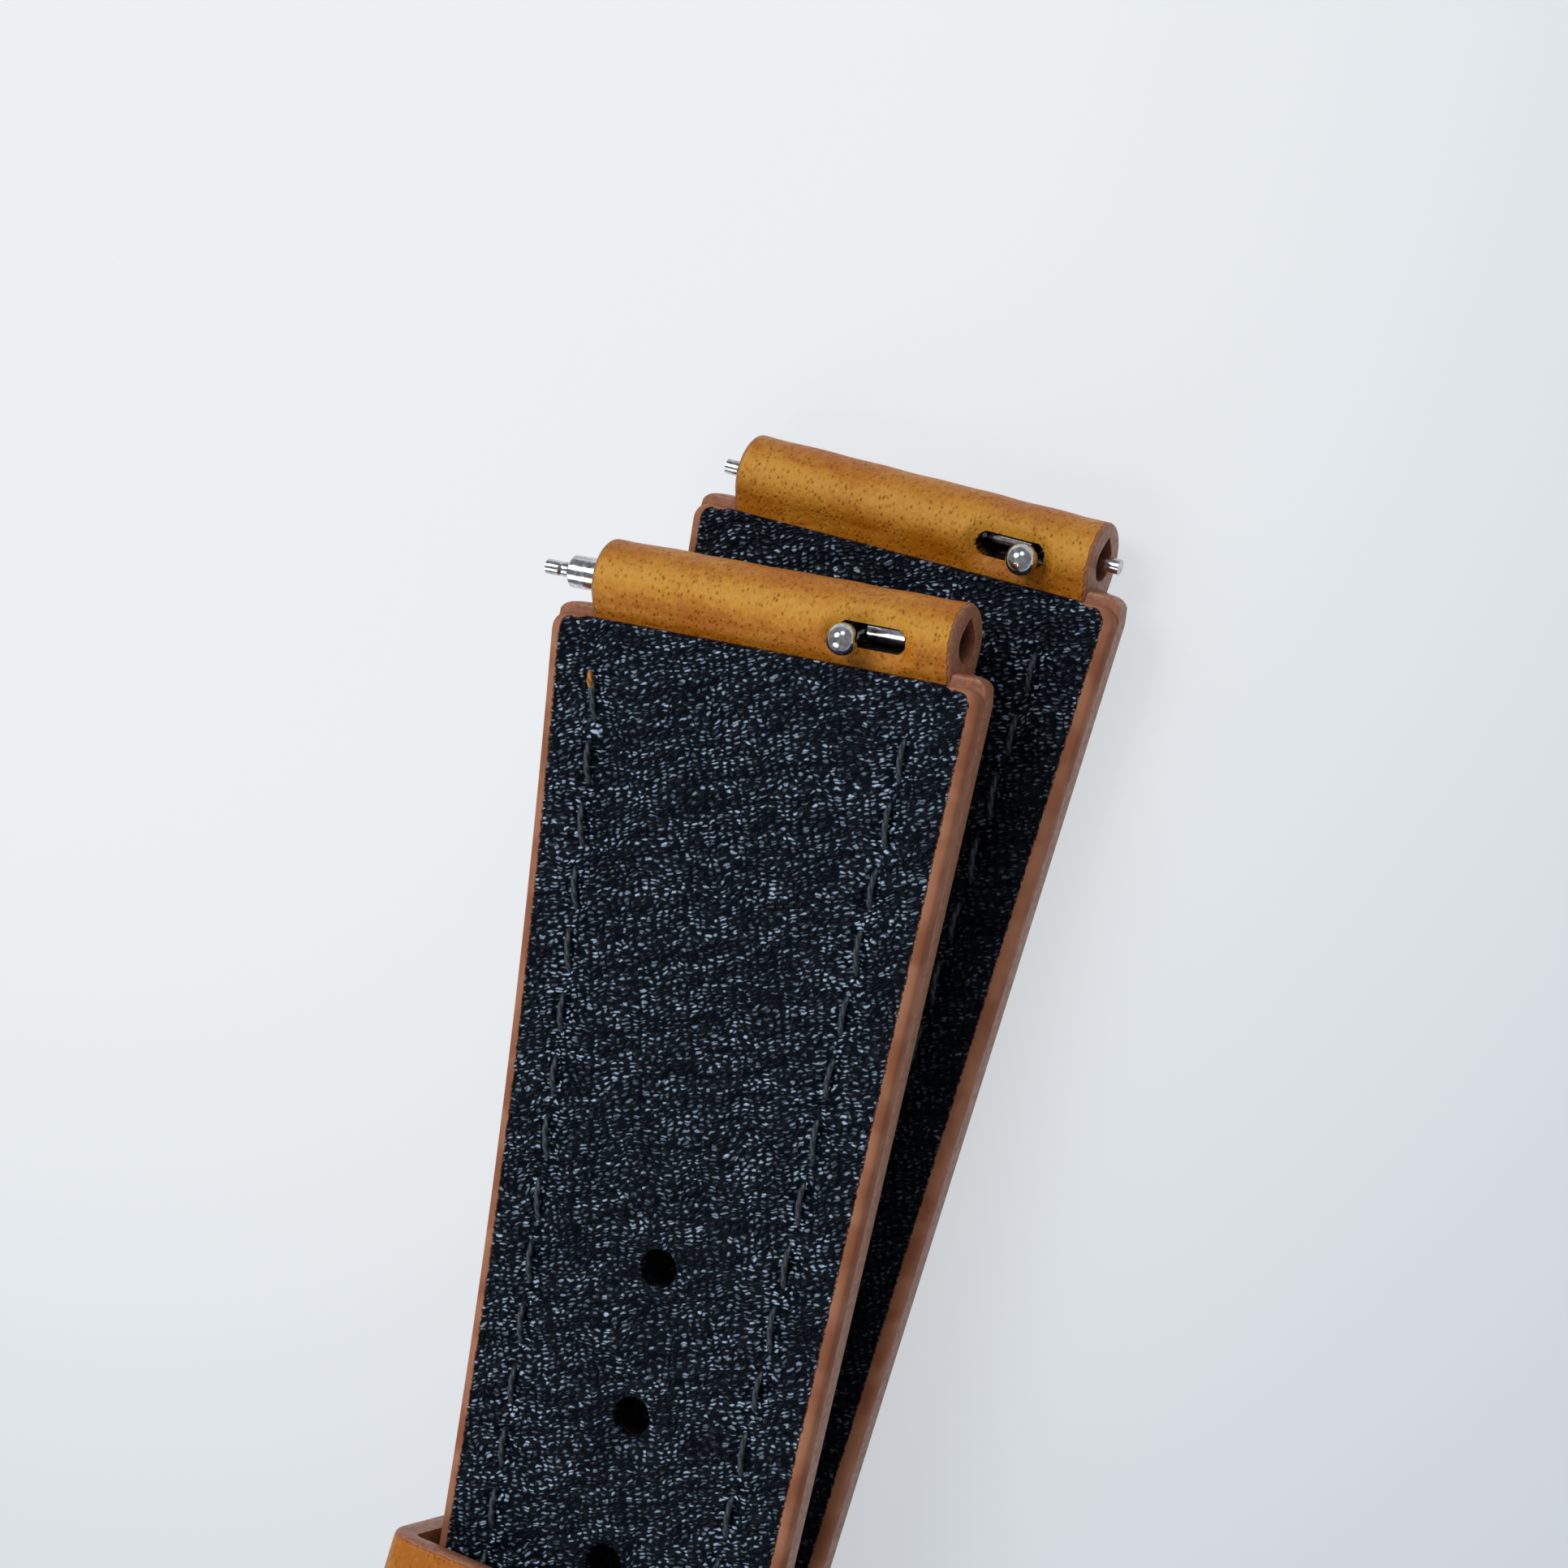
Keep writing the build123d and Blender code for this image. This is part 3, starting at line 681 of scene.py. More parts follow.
def loop_mesh(mesh, place, size, loops, fill, left, right, window):
    """Thick leather tube round a bar, from x = left to right, with the knob's window.

    A turn is an angle round the bar, from the direction of the knob.
    """
    centre = Vector((loops.bar_outset, -loops.bar_depth))
    knob = Vector((-sin(loops.knob_tilt), cos(loops.knob_tilt)))
    side = Vector((knob.y, -knob.x))
    deepest = loops.bar_depth + loops.loop_radius
    flat = size.lining + size.outer + fill

    def way_of(turn):
        """Direction of a turn."""
        return knob * cos(turn) + side * sin(turn)

    def hull(turn):
        """Outer radius of the fold at a turn: round, and on the strap's side as far as its leather."""
        way = way_of(turn)
        low, high = 0.0, HULL_LIMIT
        for _ in range(HULL_HALVINGS):
            middle = (low + high) / 2
            spot = centre + way * middle
            within = (spot - centre).length < loops.loop_radius
            if spot.x < centre.x and not within:
                share = 1 - smooth(-FOLD_REACH, FOLD_REACH, spot.x)
                under = -deepest + (deepest - flat) * share + GLUE_BELOW
                lift = loops.loop_radius - loops.bar_depth + size.lining + GLUE_ABOVE
                over = -size.lining - GLUE_ABOVE + lift * smooth(-0.5, centre.x + 0.1, spot.x)
                within = under < spot.y < over and spot.x > -LOOP_OVERLAP
            low, high = (middle, high) if within else (low, middle)
        return low

    def tunnel(turn):
        """Radius of the tunnel at a turn: round, with a blunt point where the leather folds over."""
        way = way_of(turn)
        off = abs(atan2(way.y, way.x))
        start = pi / 2 - asin((loops.tunnel_radius - TUNNEL_BLUNT) / loops.pinch_reach)
        if off < start:
            return min(loops.tunnel_radius / cos(start - off), loops.pinch_reach + TUNNEL_BLUNT)
        return loops.tunnel_radius

    fine = asin(WINDOW_STRIP / loops.loop_radius)
    fine_inner = asin(WINDOW_STRIP / loops.tunnel_radius)
    steps, rest = TURNS_WITH_WINDOW if window else TURNS_PLAIN
    turns = [fine * k / steps for k in range(-steps, steps + 1)]
    turns += [fine + (2 * pi - 2 * fine) * k / rest for k in range(1, rest)]

    def inner_turn(turn):
        """Turn in the tunnel that goes with one outside, so that the window's walls are straight."""
        if abs(turn) <= fine:
            return asin(max(min(loops.loop_radius * sin(turn) / loops.tunnel_radius, 1), -1))
        sign = 1 if turn >= 0 else -1
        return sign * (fine_inner + (abs(turn) - fine) / (pi - fine) * (pi - fine_inner))

    spots = [left + step for step in LOOP_END_STEPS]
    x = left + 0.5
    while x < right - 0.5:
        spots.append(x)
        near_window = window and abs(x - loops.window_place) < loops.window_length / 2 + 1.0
        x += WINDOW_STEP if near_window else LOOP_STEP
    spots += [right - step for step in reversed(LOOP_END_STEPS)]

    def core_of(x):
        """Nearest place on the line between the centres of the window's round ends."""
        straight = loops.window_length / 2 - loops.window_width / 2
        return max(min(x - loops.window_place, straight), -straight) + loops.window_place

    def from_window(x, beside):
        """Distance from the window's rim; inside it is negative."""
        return hypot(x - core_of(x), beside) - loops.window_width / 2

    grid = []
    for turn in turns:
        signed = turn - 2 * pi if turn > pi else turn
        way, reach = way_of(turn), hull(turn)
        way_in, reach_in = way_of(inner_turn(signed)), tunnel(inner_turn(signed))
        # the leather is stretched most on the crest, towards the strap's end; it is painted paler there,
        # partly as pull-up and partly as a painted sheen where the lamp's highlight falls
        crest = bell(signed - 0.45, 0.42)
        row = []
        for x in spots:
            from_end = min(x - left, right - x)
            press = 0.0
            if window and cos(turn) > 0:
                gap = max(from_window(x, reach * sin(turn)), 0)
                press = WINDOW_LIP * bell(gap, 0.36) - 0.06 * bell(gap - 0.7, 0.25)
            swell = 0.05 * noise.noise(Vector((x * 0.45, turn * 1.1, fill * 7)))
            out = reach - rounded(0.2, 0.2, from_end) - press + swell * smooth(0, 1.5, from_end)
            in_strip = window and abs(turn) < fine + 0.1
            in_window = in_strip and from_window(x, loops.loop_radius * sin(turn)) < 0.03
            # the window's rim and the tunnel's wall away from the loop's ends are marked for painted shade
            row.append(((x, centre + way * out), (x, centre + way_in * reach_in), (from_end, 0.0),
                        (float(in_window), smooth(0.0, 0.6, from_end)), (crest, 0.0)))
        grid.append(row)
    outer, inner, edge, dyed, crest = parted(grid)

    gone = set()
    if window:
        for i in range(2 * steps):
            beside = loops.loop_radius * sin((turns[i] + turns[i + 1]) / 2)
            for j in range(len(spots) - 1):
                if from_window((spots[j] + spots[j + 1]) / 2, beside) < 0:
                    gone.add((i, j))
    # corners on the window's rim move on to its true outline
    corners = Counter(corner for i, j in gone for corner in ((i, j), (i + 1, j), (i, j + 1), (i + 1, j + 1)))
    for (i, j), cells in corners.items():
        if cells == 4:
            continue
        core = core_of(spots[j])
        off = Vector((spots[j] - core, loops.loop_radius * sin(turns[i])))
        off *= loops.window_width / 2 / off.length
        up_out = sqrt(loops.loop_radius ** 2 - off.y ** 2) - WINDOW_LIP
        up_in = sqrt(max(loops.tunnel_radius ** 2 - off.y ** 2, 0))
        outer[i][j] = (core + off.x, centre + side * off.y + knob * up_out)
        inner[i][j] = (core + off.x, centre + side * off.y + knob * up_in)

    def placed(grid):
        """Points of the loop, in metres in the frame."""
        return [[(place @ Vector((x, *spot))) * MM for x, spot in row] for row in grid]

    marks = {"edge_mm": edge, "dyed": dyed, "crest": crest}
    layered(mesh, placed(outer), placed(inner), gone, marks, wrap=True)


# cut through one half of a keeper's outer side, and its inner side: shares of half its width
# and half its wall
KEEPER_OUTSIDE = [(-1, 0), (-1, 0.55), (-0.985, 0.75), (-0.95, 0.9), (-0.88, 0.98), (-0.75, 1), (-0.5, 1.03),
                  (-0.2, 1.05)]
KEEPER_INSIDE = [(0.97, -0.9), (0.9, -1), (0, -1), (-0.9, -1), (-0.97, -0.9)]
# steps round each corner of the band, and the longest step between them
CORNER_STEPS = 8
BAND_STEP = 0.8


def band_mesh(place, wide, bottom, top, loops, tucked):
    """Keeper: a leather band round the strap, with rolled edges and soft corners."""
    wall, half = loops.keeper_wall, loops.keeper_width / 2
    radius = loops.keeper_corner - wall / 2 + 0.1
    across = wide + wall / 2 - radius
    low, high = bottom - wall / 2 + radius, top + wall / 2 - radius
    corners = []
    for x, y, begin in ((across, low, -90), (across, high, 0), (-across, high, 90), (-across, low, 180)):
        for k in range(CORNER_STEPS + 1):
            turn = radians(begin + 90 * k / CORNER_STEPS)
            corners.append((x + radius * cos(turn), y + radius * sin(turn), cos(turn), sin(turn)))
    path = []
    for here, there in zip(corners, corners[1:] + corners[:1]):
        parts = max(int(hypot(there[0] - here[0], there[1] - here[1]) / BAND_STEP), 1)
        path += [[a + (b - a) * k / parts for a, b in zip(here, there)] for k in range(parts)]
    mirrored = [(-w, h) for w, h in reversed(KEEPER_OUTSIDE)]
    profile = [(w * half, h * wall / 2) for w, h in KEEPER_OUTSIDE + mirrored + KEEPER_INSIDE]
    mesh = bmesh.new()
    edge_layer = mesh.verts.layers.float.new("edge_mm")
    rings = []
    for x, y, normal_x, normal_y in path:
        thin = 1.0
        if tucked and y > top - 0.3:
            # the ends lie skived between lining and outer leather
            thin = min(loops.keeper_tuck / wall * 0.96, 1)
            y = min(y, top + loops.keeper_tuck / 2)
        ring = []
        for w, h in profile:
            spot = Vector((x + normal_x * h * thin, y + normal_y * h * thin, w))
            vert = mesh.verts.new((place @ spot) * MM)
            vert[edge_layer] = max(half - abs(w) - 0.02, 0) if h > 0.3 * wall else 0.0
            ring.append(vert)
        rings.append(ring)
    for here, there in zip(rings, rings[1:] + rings[:1]):
        for k in range(len(profile)):
            n = (k + 1) % len(profile)
            mesh.faces.new((here[k], here[n], there[n], there[k]))
    return mesh


# Materials

SOFT = {"interpolation_type": "SMOOTHSTEP"}


def add(tree, kind, inputs=None, **settings):
    """Add a node with its settings, and set or link its inputs; a node gives its first output."""
    new = tree.nodes.new(kind)
    for name, value in settings.items():
        setattr(new, name, value)
    for key, value in (inputs or {}).items():
        if isinstance(value, bpy.types.Node):
            value = value.outputs[0]
        if isinstance(value, bpy.types.NodeSocket):
            tree.links.new(value, new.inputs[key])
        else:
            new.inputs[key].default_value = value
    return new


def new_material(name):
    """An empty material, its node tree and its Object coordinates in millimetres."""
    material = bpy.data.materials.new(name)
    material.use_nodes = True
    tree = material.node_tree
    tree.nodes.clear()
    spot = add(tree, "ShaderNodeTexCoord").outputs["Object"]
    spot = add(tree, "ShaderNodeVectorMath", {0: spot, "Scale": 1 / MM}, operation="SCALE")
    return material, tree, spot


def edge_painted(tree, spot, skin, cloud, colours, width):
    """Brown paint over a skin's edge, a width in from it: the paint's share and the new colour."""
    edge = add(tree, "ShaderNodeAttribute", attribute_name="edge_mm").outputs["Fac"]
    # the paint's border has small nicks, 0.035 mm deep
    nicks = add(tree, "ShaderNodeTexNoise", {"Vector": spot, "Scale": 5.0, "Detail": 2.0})
    nicks = add(tree, "ShaderNodeMapRange", {0: nicks, 1: 0.3, 2: 0.7, 3: -0.035, 4: 0.035}, **SOFT)
    moved = add(tree, "ShaderNodeMath", {0: edge, 1: nicks}, operation="ADD")
    border = {0: moved, 1: width - 0.05, 2: width + 0.05, 3: 1.0, 4: 0.0}
    painted = add(tree, "ShaderNodeMapRange", border, **SOFT)
    thin = add(tree, "ShaderNodeMapRange", {0: cloud, 1: 0.35, 2: 0.65}, **SOFT)
    paint = add(tree, "ShaderNodeMix", {0: thin, 6: colours.paint_dark, 7: colours.paint}, data_type="RGBA")
    finish = add(tree, "ShaderNodeMix", {0: painted, 6: skin.outputs[2], 7: paint.outputs[2]},
                 data_type="RGBA")
    return painted, finish.outputs[2]


def oiled_tan_leather(colours):
    """Vegetable-tanned calf, oiled and hand-stained: cloudy tan with deep amber pools, fine
    pores and a soft satin sheen, painted paler along the loops' crests, partly as pull-up where a tight fold
    pulls the oil out of it and partly as a painted sheen; its cut edges are painted brown, and the walls of
    its holes, window and tunnels are painted near black as painted shade."""
    material, tree, spot = new_material("oiled vegetable-tanned calf")
    # pools of oil some 3 mm across
    cloud = add(tree, "ShaderNodeTexNoise", {"Vector": spot, "Scale": 0.3, "Detail": 3.0, "Roughness": 0.6})
    # mottling about 0.3 mm across, as on pulled-up calf
    mottle = add(tree, "ShaderNodeTexNoise", {"Vector": spot, "Scale": 3.2, "Detail": 5.0, "Roughness": 0.7,
                                              "Distortion": 0.3})
    # pores 0.18 by 0.31 mm, stretched as the leather is folded round the bar
    leaning = add(tree, "ShaderNodeMapping", {"Vector": spot, "Rotation": (0, 0, radians(-35)),
                                              "Scale": (5.6, 3.2, 4.2)})
    pores = add(tree, "ShaderNodeTexVoronoi", {"Vector": leaning, "Scale": 1.0}).outputs["Distance"]
    crest = add(tree, "ShaderNodeAttribute", attribute_name="crest").outputs["Fac"]
    tone = add(tree, "ShaderNodeMath", {0: cloud, 1: 0.5}, operation="MULTIPLY")
    tone = add(tree, "ShaderNodeMath", {0: mottle, 1: 0.7, 2: tone}, operation="MULTIPLY_ADD")
    # the loops' crests are painted paler: pull-up together with a painted sheen
    tone = add(tree, "ShaderNodeMath", {0: crest, 1: 0.3, 2: tone}, operation="MULTIPLY_ADD")
    tone = add(tree, "ShaderNodeMapRange", {0: tone, 1: 0.48, 2: 0.95}, **SOFT)
    tan = add(tree, "ShaderNodeMix", {0: tone, 6: colours.tan_deep, 7: colours.tan_light}, data_type="RGBA")
    # the pores show most where the leather is dark
    in_pore = add(tree, "ShaderNodeMapRange", {0: pores, 1: 0.1, 2: 0.34, 3: 1.0, 4: 0.0}, **SOFT)
    shown = add(tree, "ShaderNodeMapRange", {0: mottle, 1: 0.42, 2: 0.6, 3: 0.8, 4: 0.1}, **SOFT)
    in_pore = add(tree, "ShaderNodeMath", {0: in_pore, 1: shown}, operation="MULTIPLY")
    tan = add(tree, "ShaderNodeMix", {0: in_pore, 6: tan.outputs[2], 7: colours.pore}, data_type="RGBA")
    painted, finish = edge_painted(tree, spot, tan, mottle, colours, 0.16)
    # the walls of the holes, the window and the tunnels are painted near black: painted shade
    dyed = add(tree, "ShaderNodeAttribute", attribute_name="dyed").outputs["Fac"]
    finish = add(tree, "ShaderNodeMix", {0: dyed, 6: finish, 7: colours.hole}, data_type="RGBA")
    rough = add(tree, "ShaderNodeMapRange", {0: mottle, 1: 0.3, 2: 0.7, 3: 0.46, 4: 0.3}, **SOFT)
    pore = add(tree, "ShaderNodeMapRange", {0: pores, 1: 0.08, 2: 0.42, 4: 0.5}, **SOFT)
    height = add(tree, "ShaderNodeMath", {0: mottle, 1: 0.9, 2: pore}, operation="MULTIPLY_ADD")
    # the paint fills a part of the grain
    left = add(tree, "ShaderNodeMapRange", {0: painted, 3: 1.0, 4: 0.25}, **SOFT)
    height = add(tree, "ShaderNodeMath", {0: height, 1: left}, operation="MULTIPLY")
    bump = add(tree, "ShaderNodeBump", {"Strength": 0.9, "Distance": 0.08 * MM, "Height": height})
    skin = add(tree, "ShaderNodeBsdfPrincipled",
               {"Base Color": finish.outputs[2], "Roughness": rough, "IOR": 1.5, "Specular IOR Level": 0.28,
                "Normal": bump})
    add(tree, "ShaderNodeOutputMaterial", {"Surface": skin})
    return material


def pebbled_lining(colours):
    """Calf lining with a pressed pebble grain, in blue-black dye and waxed: dark, with the tops of its
    pebbles painted pale, partly as rubbed wear and partly as painted glints; its rolled rim carries the brown
    edge paint."""
    material, tree, spot = new_material("pebble-embossed calf lining")
    # the grain runs in rows that slant across the strap and bend a little
    turned = add(tree, "ShaderNodeMapping",
                 {"Vector": spot, "Rotation": (0, 0, radians(-22)), "Scale": (1, 1, 0)})
    bend = add(tree, "ShaderNodeTexNoise", {"Vector": spot, "Scale": 0.45, "Detail": 2.0}).outputs["Color"]
    bent = add(tree, "ShaderNodeVectorMath", {0: bend, 1: (0.5, 0.5, 0.5)}, operation="SUBTRACT")
    bent = add(tree, "ShaderNodeVectorMath", {0: bent, 1: (0.9, 0.9, 0), 2: turned}, operation="MULTIPLY_ADD")
    # pebbles 0.4 by 0.2 mm, none of them quite oval
    ragged = add(tree, "ShaderNodeTexNoise", {"Vector": spot, "Scale": 3.5, "Detail": 1.0}).outputs["Color"]
    ragged = add(tree, "ShaderNodeVectorMath", {0: ragged, 1: (0.4, 0.2, 0), 2: bent},
                 operation="MULTIPLY_ADD")
    pebbles = add(tree, "ShaderNodeVectorMath", {0: ragged, 1: (2.4, 5.0, 1)}, operation="MULTIPLY")
    cells = add(tree, "ShaderNodeTexVoronoi", {"Vector": pebbles, "Scale": 1.0, "Randomness": 0.68},
                voronoi_dimensions="2D")
    dome = add(tree, "ShaderNodeMapRange", {0: cells.outputs["Distance"], 2: 0.62, 3: 1.0, 4: 0.0}, **SOFT)
    each = add(tree, "ShaderNodeSeparateColor", {0: cells.outputs["Color"]})
    # creases 0.6 mm apart and a few millimetres long, and waves of 2 mm
    folds = add(tree, "ShaderNodeVectorMath", {0: bent, 1: (0.38, 1.7, 1)}, operation="MULTIPLY")
    crease = add(tree, "ShaderNodeTexNoise", {"Vector": folds, "Scale": 1.0, "Detail": 2.0, "Roughness": 0.5})
    waves = add(tree, "ShaderNodeTexNoise", {"Vector": spot, "Scale": 0.5, "Detail": 2.0})
    # short puckers 0.5 mm apart beside the seams
    seam = add(tree, "ShaderNodeAttribute", attribute_name="seam").outputs["Fac"]
    drawn = add(tree, "ShaderNodeVectorMath", {0: bent, 1: (0.8, 2.0, 1)}, operation="MULTIPLY")
    pucker = add(tree, "ShaderNodeTexNoise", {"Vector": drawn, "Scale": 1.0, "Detail": 2.0})
    pucker = add(tree, "ShaderNodeMapRange", {0: pucker, 1: 0.46, 2: 0.6}, **SOFT)
    pucker = add(tree, "ShaderNodeMath", {0: pucker, 1: seam}, operation="MULTIPLY")
    # how pale each pebble's top is painted: rubbed wear together with painted glints
    in_row = add(tree, "ShaderNodeMapRange", {0: crease, 1: 0.38, 2: 0.62, 3: 0.2, 4: 1.0}, **SOFT)
    in_patch = add(tree, "ShaderNodeMapRange", {0: waves, 1: 0.3, 2: 0.6, 3: 0.65, 4: 1.0}, **SOFT)
    alone = add(tree, "ShaderNodeMapRange", {0: each, 1: 0.1, 2: 0.95, 3: 0.09, 4: 0.85}, **SOFT)
    wear_and_glint = add(tree, "ShaderNodeMath", {0: in_row, 1: in_patch}, operation="MULTIPLY")
    wear_and_glint = add(tree, "ShaderNodeMath", {0: wear_and_glint, 1: alone}, operation="MULTIPLY")
    # the puckers beside the seams carry the brightest painted glints
    wear_and_glint = add(tree, "ShaderNodeMath", {0: wear_and_glint, 1: pucker}, operation="MAXIMUM")
    # the painted glints fade where the short half lies in painted shade
    rub = add(tree, "ShaderNodeAttribute", attribute_name="rub").outputs["Fac"]
    wear_and_glint = add(tree, "ShaderNodeMath", {0: wear_and_glint, 1: rub}, operation="MULTIPLY")
    rubbed_glint = add(tree, "ShaderNodeMapRange", {0: dome, 1: 0.36, 2: 1.0}, **SOFT)
    rubbed_glint = add(tree, "ShaderNodeMath", {0: rubbed_glint, 1: wear_and_glint}, operation="MULTIPLY")
    # between the pebbles the colour is a little paler in the rows
    waxed = add(tree, "ShaderNodeMath", {0: in_row, 1: 0.007}, operation="MULTIPLY")
    rubbed_glint = add(tree, "ShaderNodeMath", {0: rubbed_glint, 1: waxed}, operation="MAXIMUM")
    dark = add(tree, "ShaderNodeMix", {0: rubbed_glint, 6: colours.lining, 7: colours.lining_glint_and_wear},
               data_type="RGBA")
    painted, finish = edge_painted(tree, spot, dark, waves, colours, 0.48)
    rough = add(tree, "ShaderNodeMapRange", {0: painted, 3: 0.28, 4: 0.42}, **SOFT)
    height = add(tree, "ShaderNodeMath", {0: dome, 1: 0.9}, operation="MULTIPLY")
    height = add(tree, "ShaderNodeMath", {0: crease, 1: 1.6, 2: height}, operation="MULTIPLY_ADD")
    height = add(tree, "ShaderNodeMath", {0: pucker, 1: 0.6, 2: height}, operation="MULTIPLY_ADD")
    # the paint fills nearly all of the grain
    left = add(tree, "ShaderNodeMapRange", {0: painted, 3: 1.0, 4: 0.03}, **SOFT)
    height = add(tree, "ShaderNodeMath", {0: height, 1: left}, operation="MULTIPLY")
    bump = add(tree, "ShaderNodeBump", {"Strength": 1.0, "Distance": 0.07 * MM, "Height": height})
    skin = add(tree, "ShaderNodeBsdfPrincipled",
               {"Base Color": finish, "Roughness": rough, "IOR": 1.45, "Specular IOR Level": 0.05,
                "Normal": bump})
    add(tree, "ShaderNodeOutputMaterial", {"Surface": skin})
    return material


def waxed_thread(name, tone):
    """Waxed two-ply polyester thread: satin, with its plies twisted."""
    material, tree, spot = new_material(name)
    turn = add(tree, "ShaderNodeAttribute", attribute_name="ply").outputs["Fac"]
    ply = add(tree, "ShaderNodeMath", {0: turn}, operation="SINE")
    # loose fibres 0.1 mm long
    fuzz = add(tree, "ShaderNodeTexNoise", {"Vector": spot, "Scale": 9.0, "Detail": 2.0})
    # the groove between the plies is painted darker: painted shade
    ply_groove_shade = add(tree, "ShaderNodeMapRange", {0: ply, 1: -1.0, 2: 0.2, 3: 0.6, 4: 0.0}, **SOFT)
    shade = add(tree, "ShaderNodeMix", {0: ply_groove_shade, 6: tone, 7: (0.0, 0.0, 0.0, 1.0)}, data_type="RGBA")
    height = add(tree, "ShaderNodeMath", {0: ply, 1: fuzz}, operation="ADD")
    bump = add(tree, "ShaderNodeBump", {"Strength": 0.6, "Distance": 0.05 * MM, "Height": height})
    fibre = add(tree, "ShaderNodeBsdfPrincipled",
                {"Base Color": shade.outputs[2], "Roughness": 0.45, "Normal": bump})
    add(tree, "ShaderNodeOutputMaterial", {"Surface": fibre})
    return material


def turned_steel(name, tone, rough):
    """Stainless steel, turned and polished: mirror-like with a faint trace of the lathe."""
    material, tree, spot = new_material(name)
    # marks 0.2 mm across, coarser than real ones so that they show
    marks = add(tree, "ShaderNodeTexNoise", {"Vector": spot, "Scale": 5.0, "Detail": 4.0})
    bright = add(tree, "ShaderNodeMapRange", {0: marks, 1: 0.3, 2: 0.7}, **SOFT)
    tint = add(tree, "ShaderNodeMix", {0: bright, 6: linear(tone), 7: linear("#D9DADC")}, data_type="RGBA")
    dull = add(tree, "ShaderNodeMapRange", {0: marks, 1: 0.3, 2: 0.75, 3: rough, 4: rough + 0.1}, **SOFT)
    bump = add(tree, "ShaderNodeBump", {"Strength": 0.12, "Distance": 0.01 * MM, "Height": marks})
    steel = add(tree, "ShaderNodeBsdfPrincipled",
                {"Base Color": tint.outputs[2], "Metallic": 1.0, "Roughness": dull, "Normal": bump})
    add(tree, "ShaderNodeOutputMaterial", {"Surface": steel})
    return material


def white_board(colours):
    """Matt white board: it shows its own paleness to the eye and to shiny metal, keeps a soft
    shadow, and is painted darker away from the far left corner, as painted shade."""
    material, tree, spot = new_material("matt white board")
    # painted shade: darker with distance from the far left corner
    away = add(tree, "ShaderNodeVectorMath", {0: spot, 1: FLOOR_CORNER}, operation="DISTANCE")
    away = add(tree, "ShaderNodeMapRange", {0: away.outputs["Value"], 1: 42, 2: 135}, **SOFT)
    tone = add(tree, "ShaderNodeMix", {0: away, 6: colours.floor, 7: colours.floor_painted_shade}, data_type="RGBA")
    tone = tone.outputs[2]
    board = add(tree, "ShaderNodeBsdfDiffuse", {"Color": tone})
    glow = add(tree, "ShaderNodeEmission", {"Color": tone, "Strength": 1.0})
    path = add(tree, "ShaderNodeLightPath").outputs
    seen = add(tree, "ShaderNodeMath", {0: path["Is Glossy Ray"], 1: path["Is Transmission Ray"]},
               operation="MAXIMUM")
    seen = add(tree, "ShaderNodeMath", {0: path["Is Camera Ray"], 1: seen}, operation="MAXIMUM")
    share = add(tree, "ShaderNodeMath", {0: seen, 1: 0.75}, operation="MULTIPLY")
    mixed = add(tree, "ShaderNodeMixShader", {0: share, 1: board, 2: glow})
    add(tree, "ShaderNodeOutputMaterial", {"Surface": mixed})
    return material


# Pieces

class STRAP_OT_linings(bpy.types.Operator):
    """Make the pebbled lining of each half"""
    bl_idname = "strap.linings"
    bl_label = "Linings"

    def execute(self, context):
        scene = context.scene
        skin = pebbled_lining(scene.strap_colours)
        for half in halves(scene):
            mesh = lining_mesh(half, Dents(half, 1.0))
            finish_mesh(f"{half.name}_lining_pebbled", mesh, skin, f"{half.name}_half",
                        [f"{half.name}_lining"])
        return {"FINISHED"}


class STRAP_OT_outer_leathers(bpy.types.Operator):
    """Make the tan outer leather of each half, with its loops"""
    bl_idname = "strap.outer_leathers"
    bl_label = "Outer leathers"

    def execute(self, context):
        scene = context.scene
        loops = in_mm(scene.strap_loops)
        skin = oiled_tan_leather(scene.strap_colours)
        for half in halves(scene):
            mesh = outer_mesh(half, loops, Dents(half, 0.8))
            finish_mesh(f"{half.name}_outer_sewn", mesh, skin, f"{half.name}_half",
                        [f"{half.name}_outer_leather", f"{half.name}_filler"])
        return {"FINISHED"}


class STRAP_OT_keepers(bpy.types.Operator):
    """Make the fixed and the free keeper"""
    bl_idname = "strap.keepers"
    bl_label = "Keepers"

    def execute(self, context):
        scene = context.scene
        size, loops = in_mm(scene.strap_sizes), in_mm(scene.strap_loops)
        skin = bpy.data.materials["oiled vegetable-tanned calf"]
        for name, at, body, tucked in (("fixed_keeper", loops.fixed_keeper, "short_half", True),
                                       ("free_keeper", loops.free_keeper, "free_keeper", False)):
            lean = REST_TILT - at / size.curl_radius
            low, high = (Vector(corner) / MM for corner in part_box(name))
            wide = (high.x - low.x) / 2 - loops.keeper_wall
            tall = (high.z - low.z - loops.keeper_width * sin(abs(lean))) / cos(lean)
            place = (Matrix.Translation((low + high) / 2) @ Matrix.Rotation(lean, 4, "X")
                     @ Matrix.Rotation(pi / 2, 4, "X"))
            bottom = loops.keeper_wall - tall / 2
            top = tall / 2 - (loops.keeper_tuck if tucked else loops.keeper_wall)
            mesh = band_mesh(place, wide, bottom, top, loops, tucked)
            finish_mesh(f"{name}_leather", mesh, skin, body, [name])
        return {"FINISHED"}


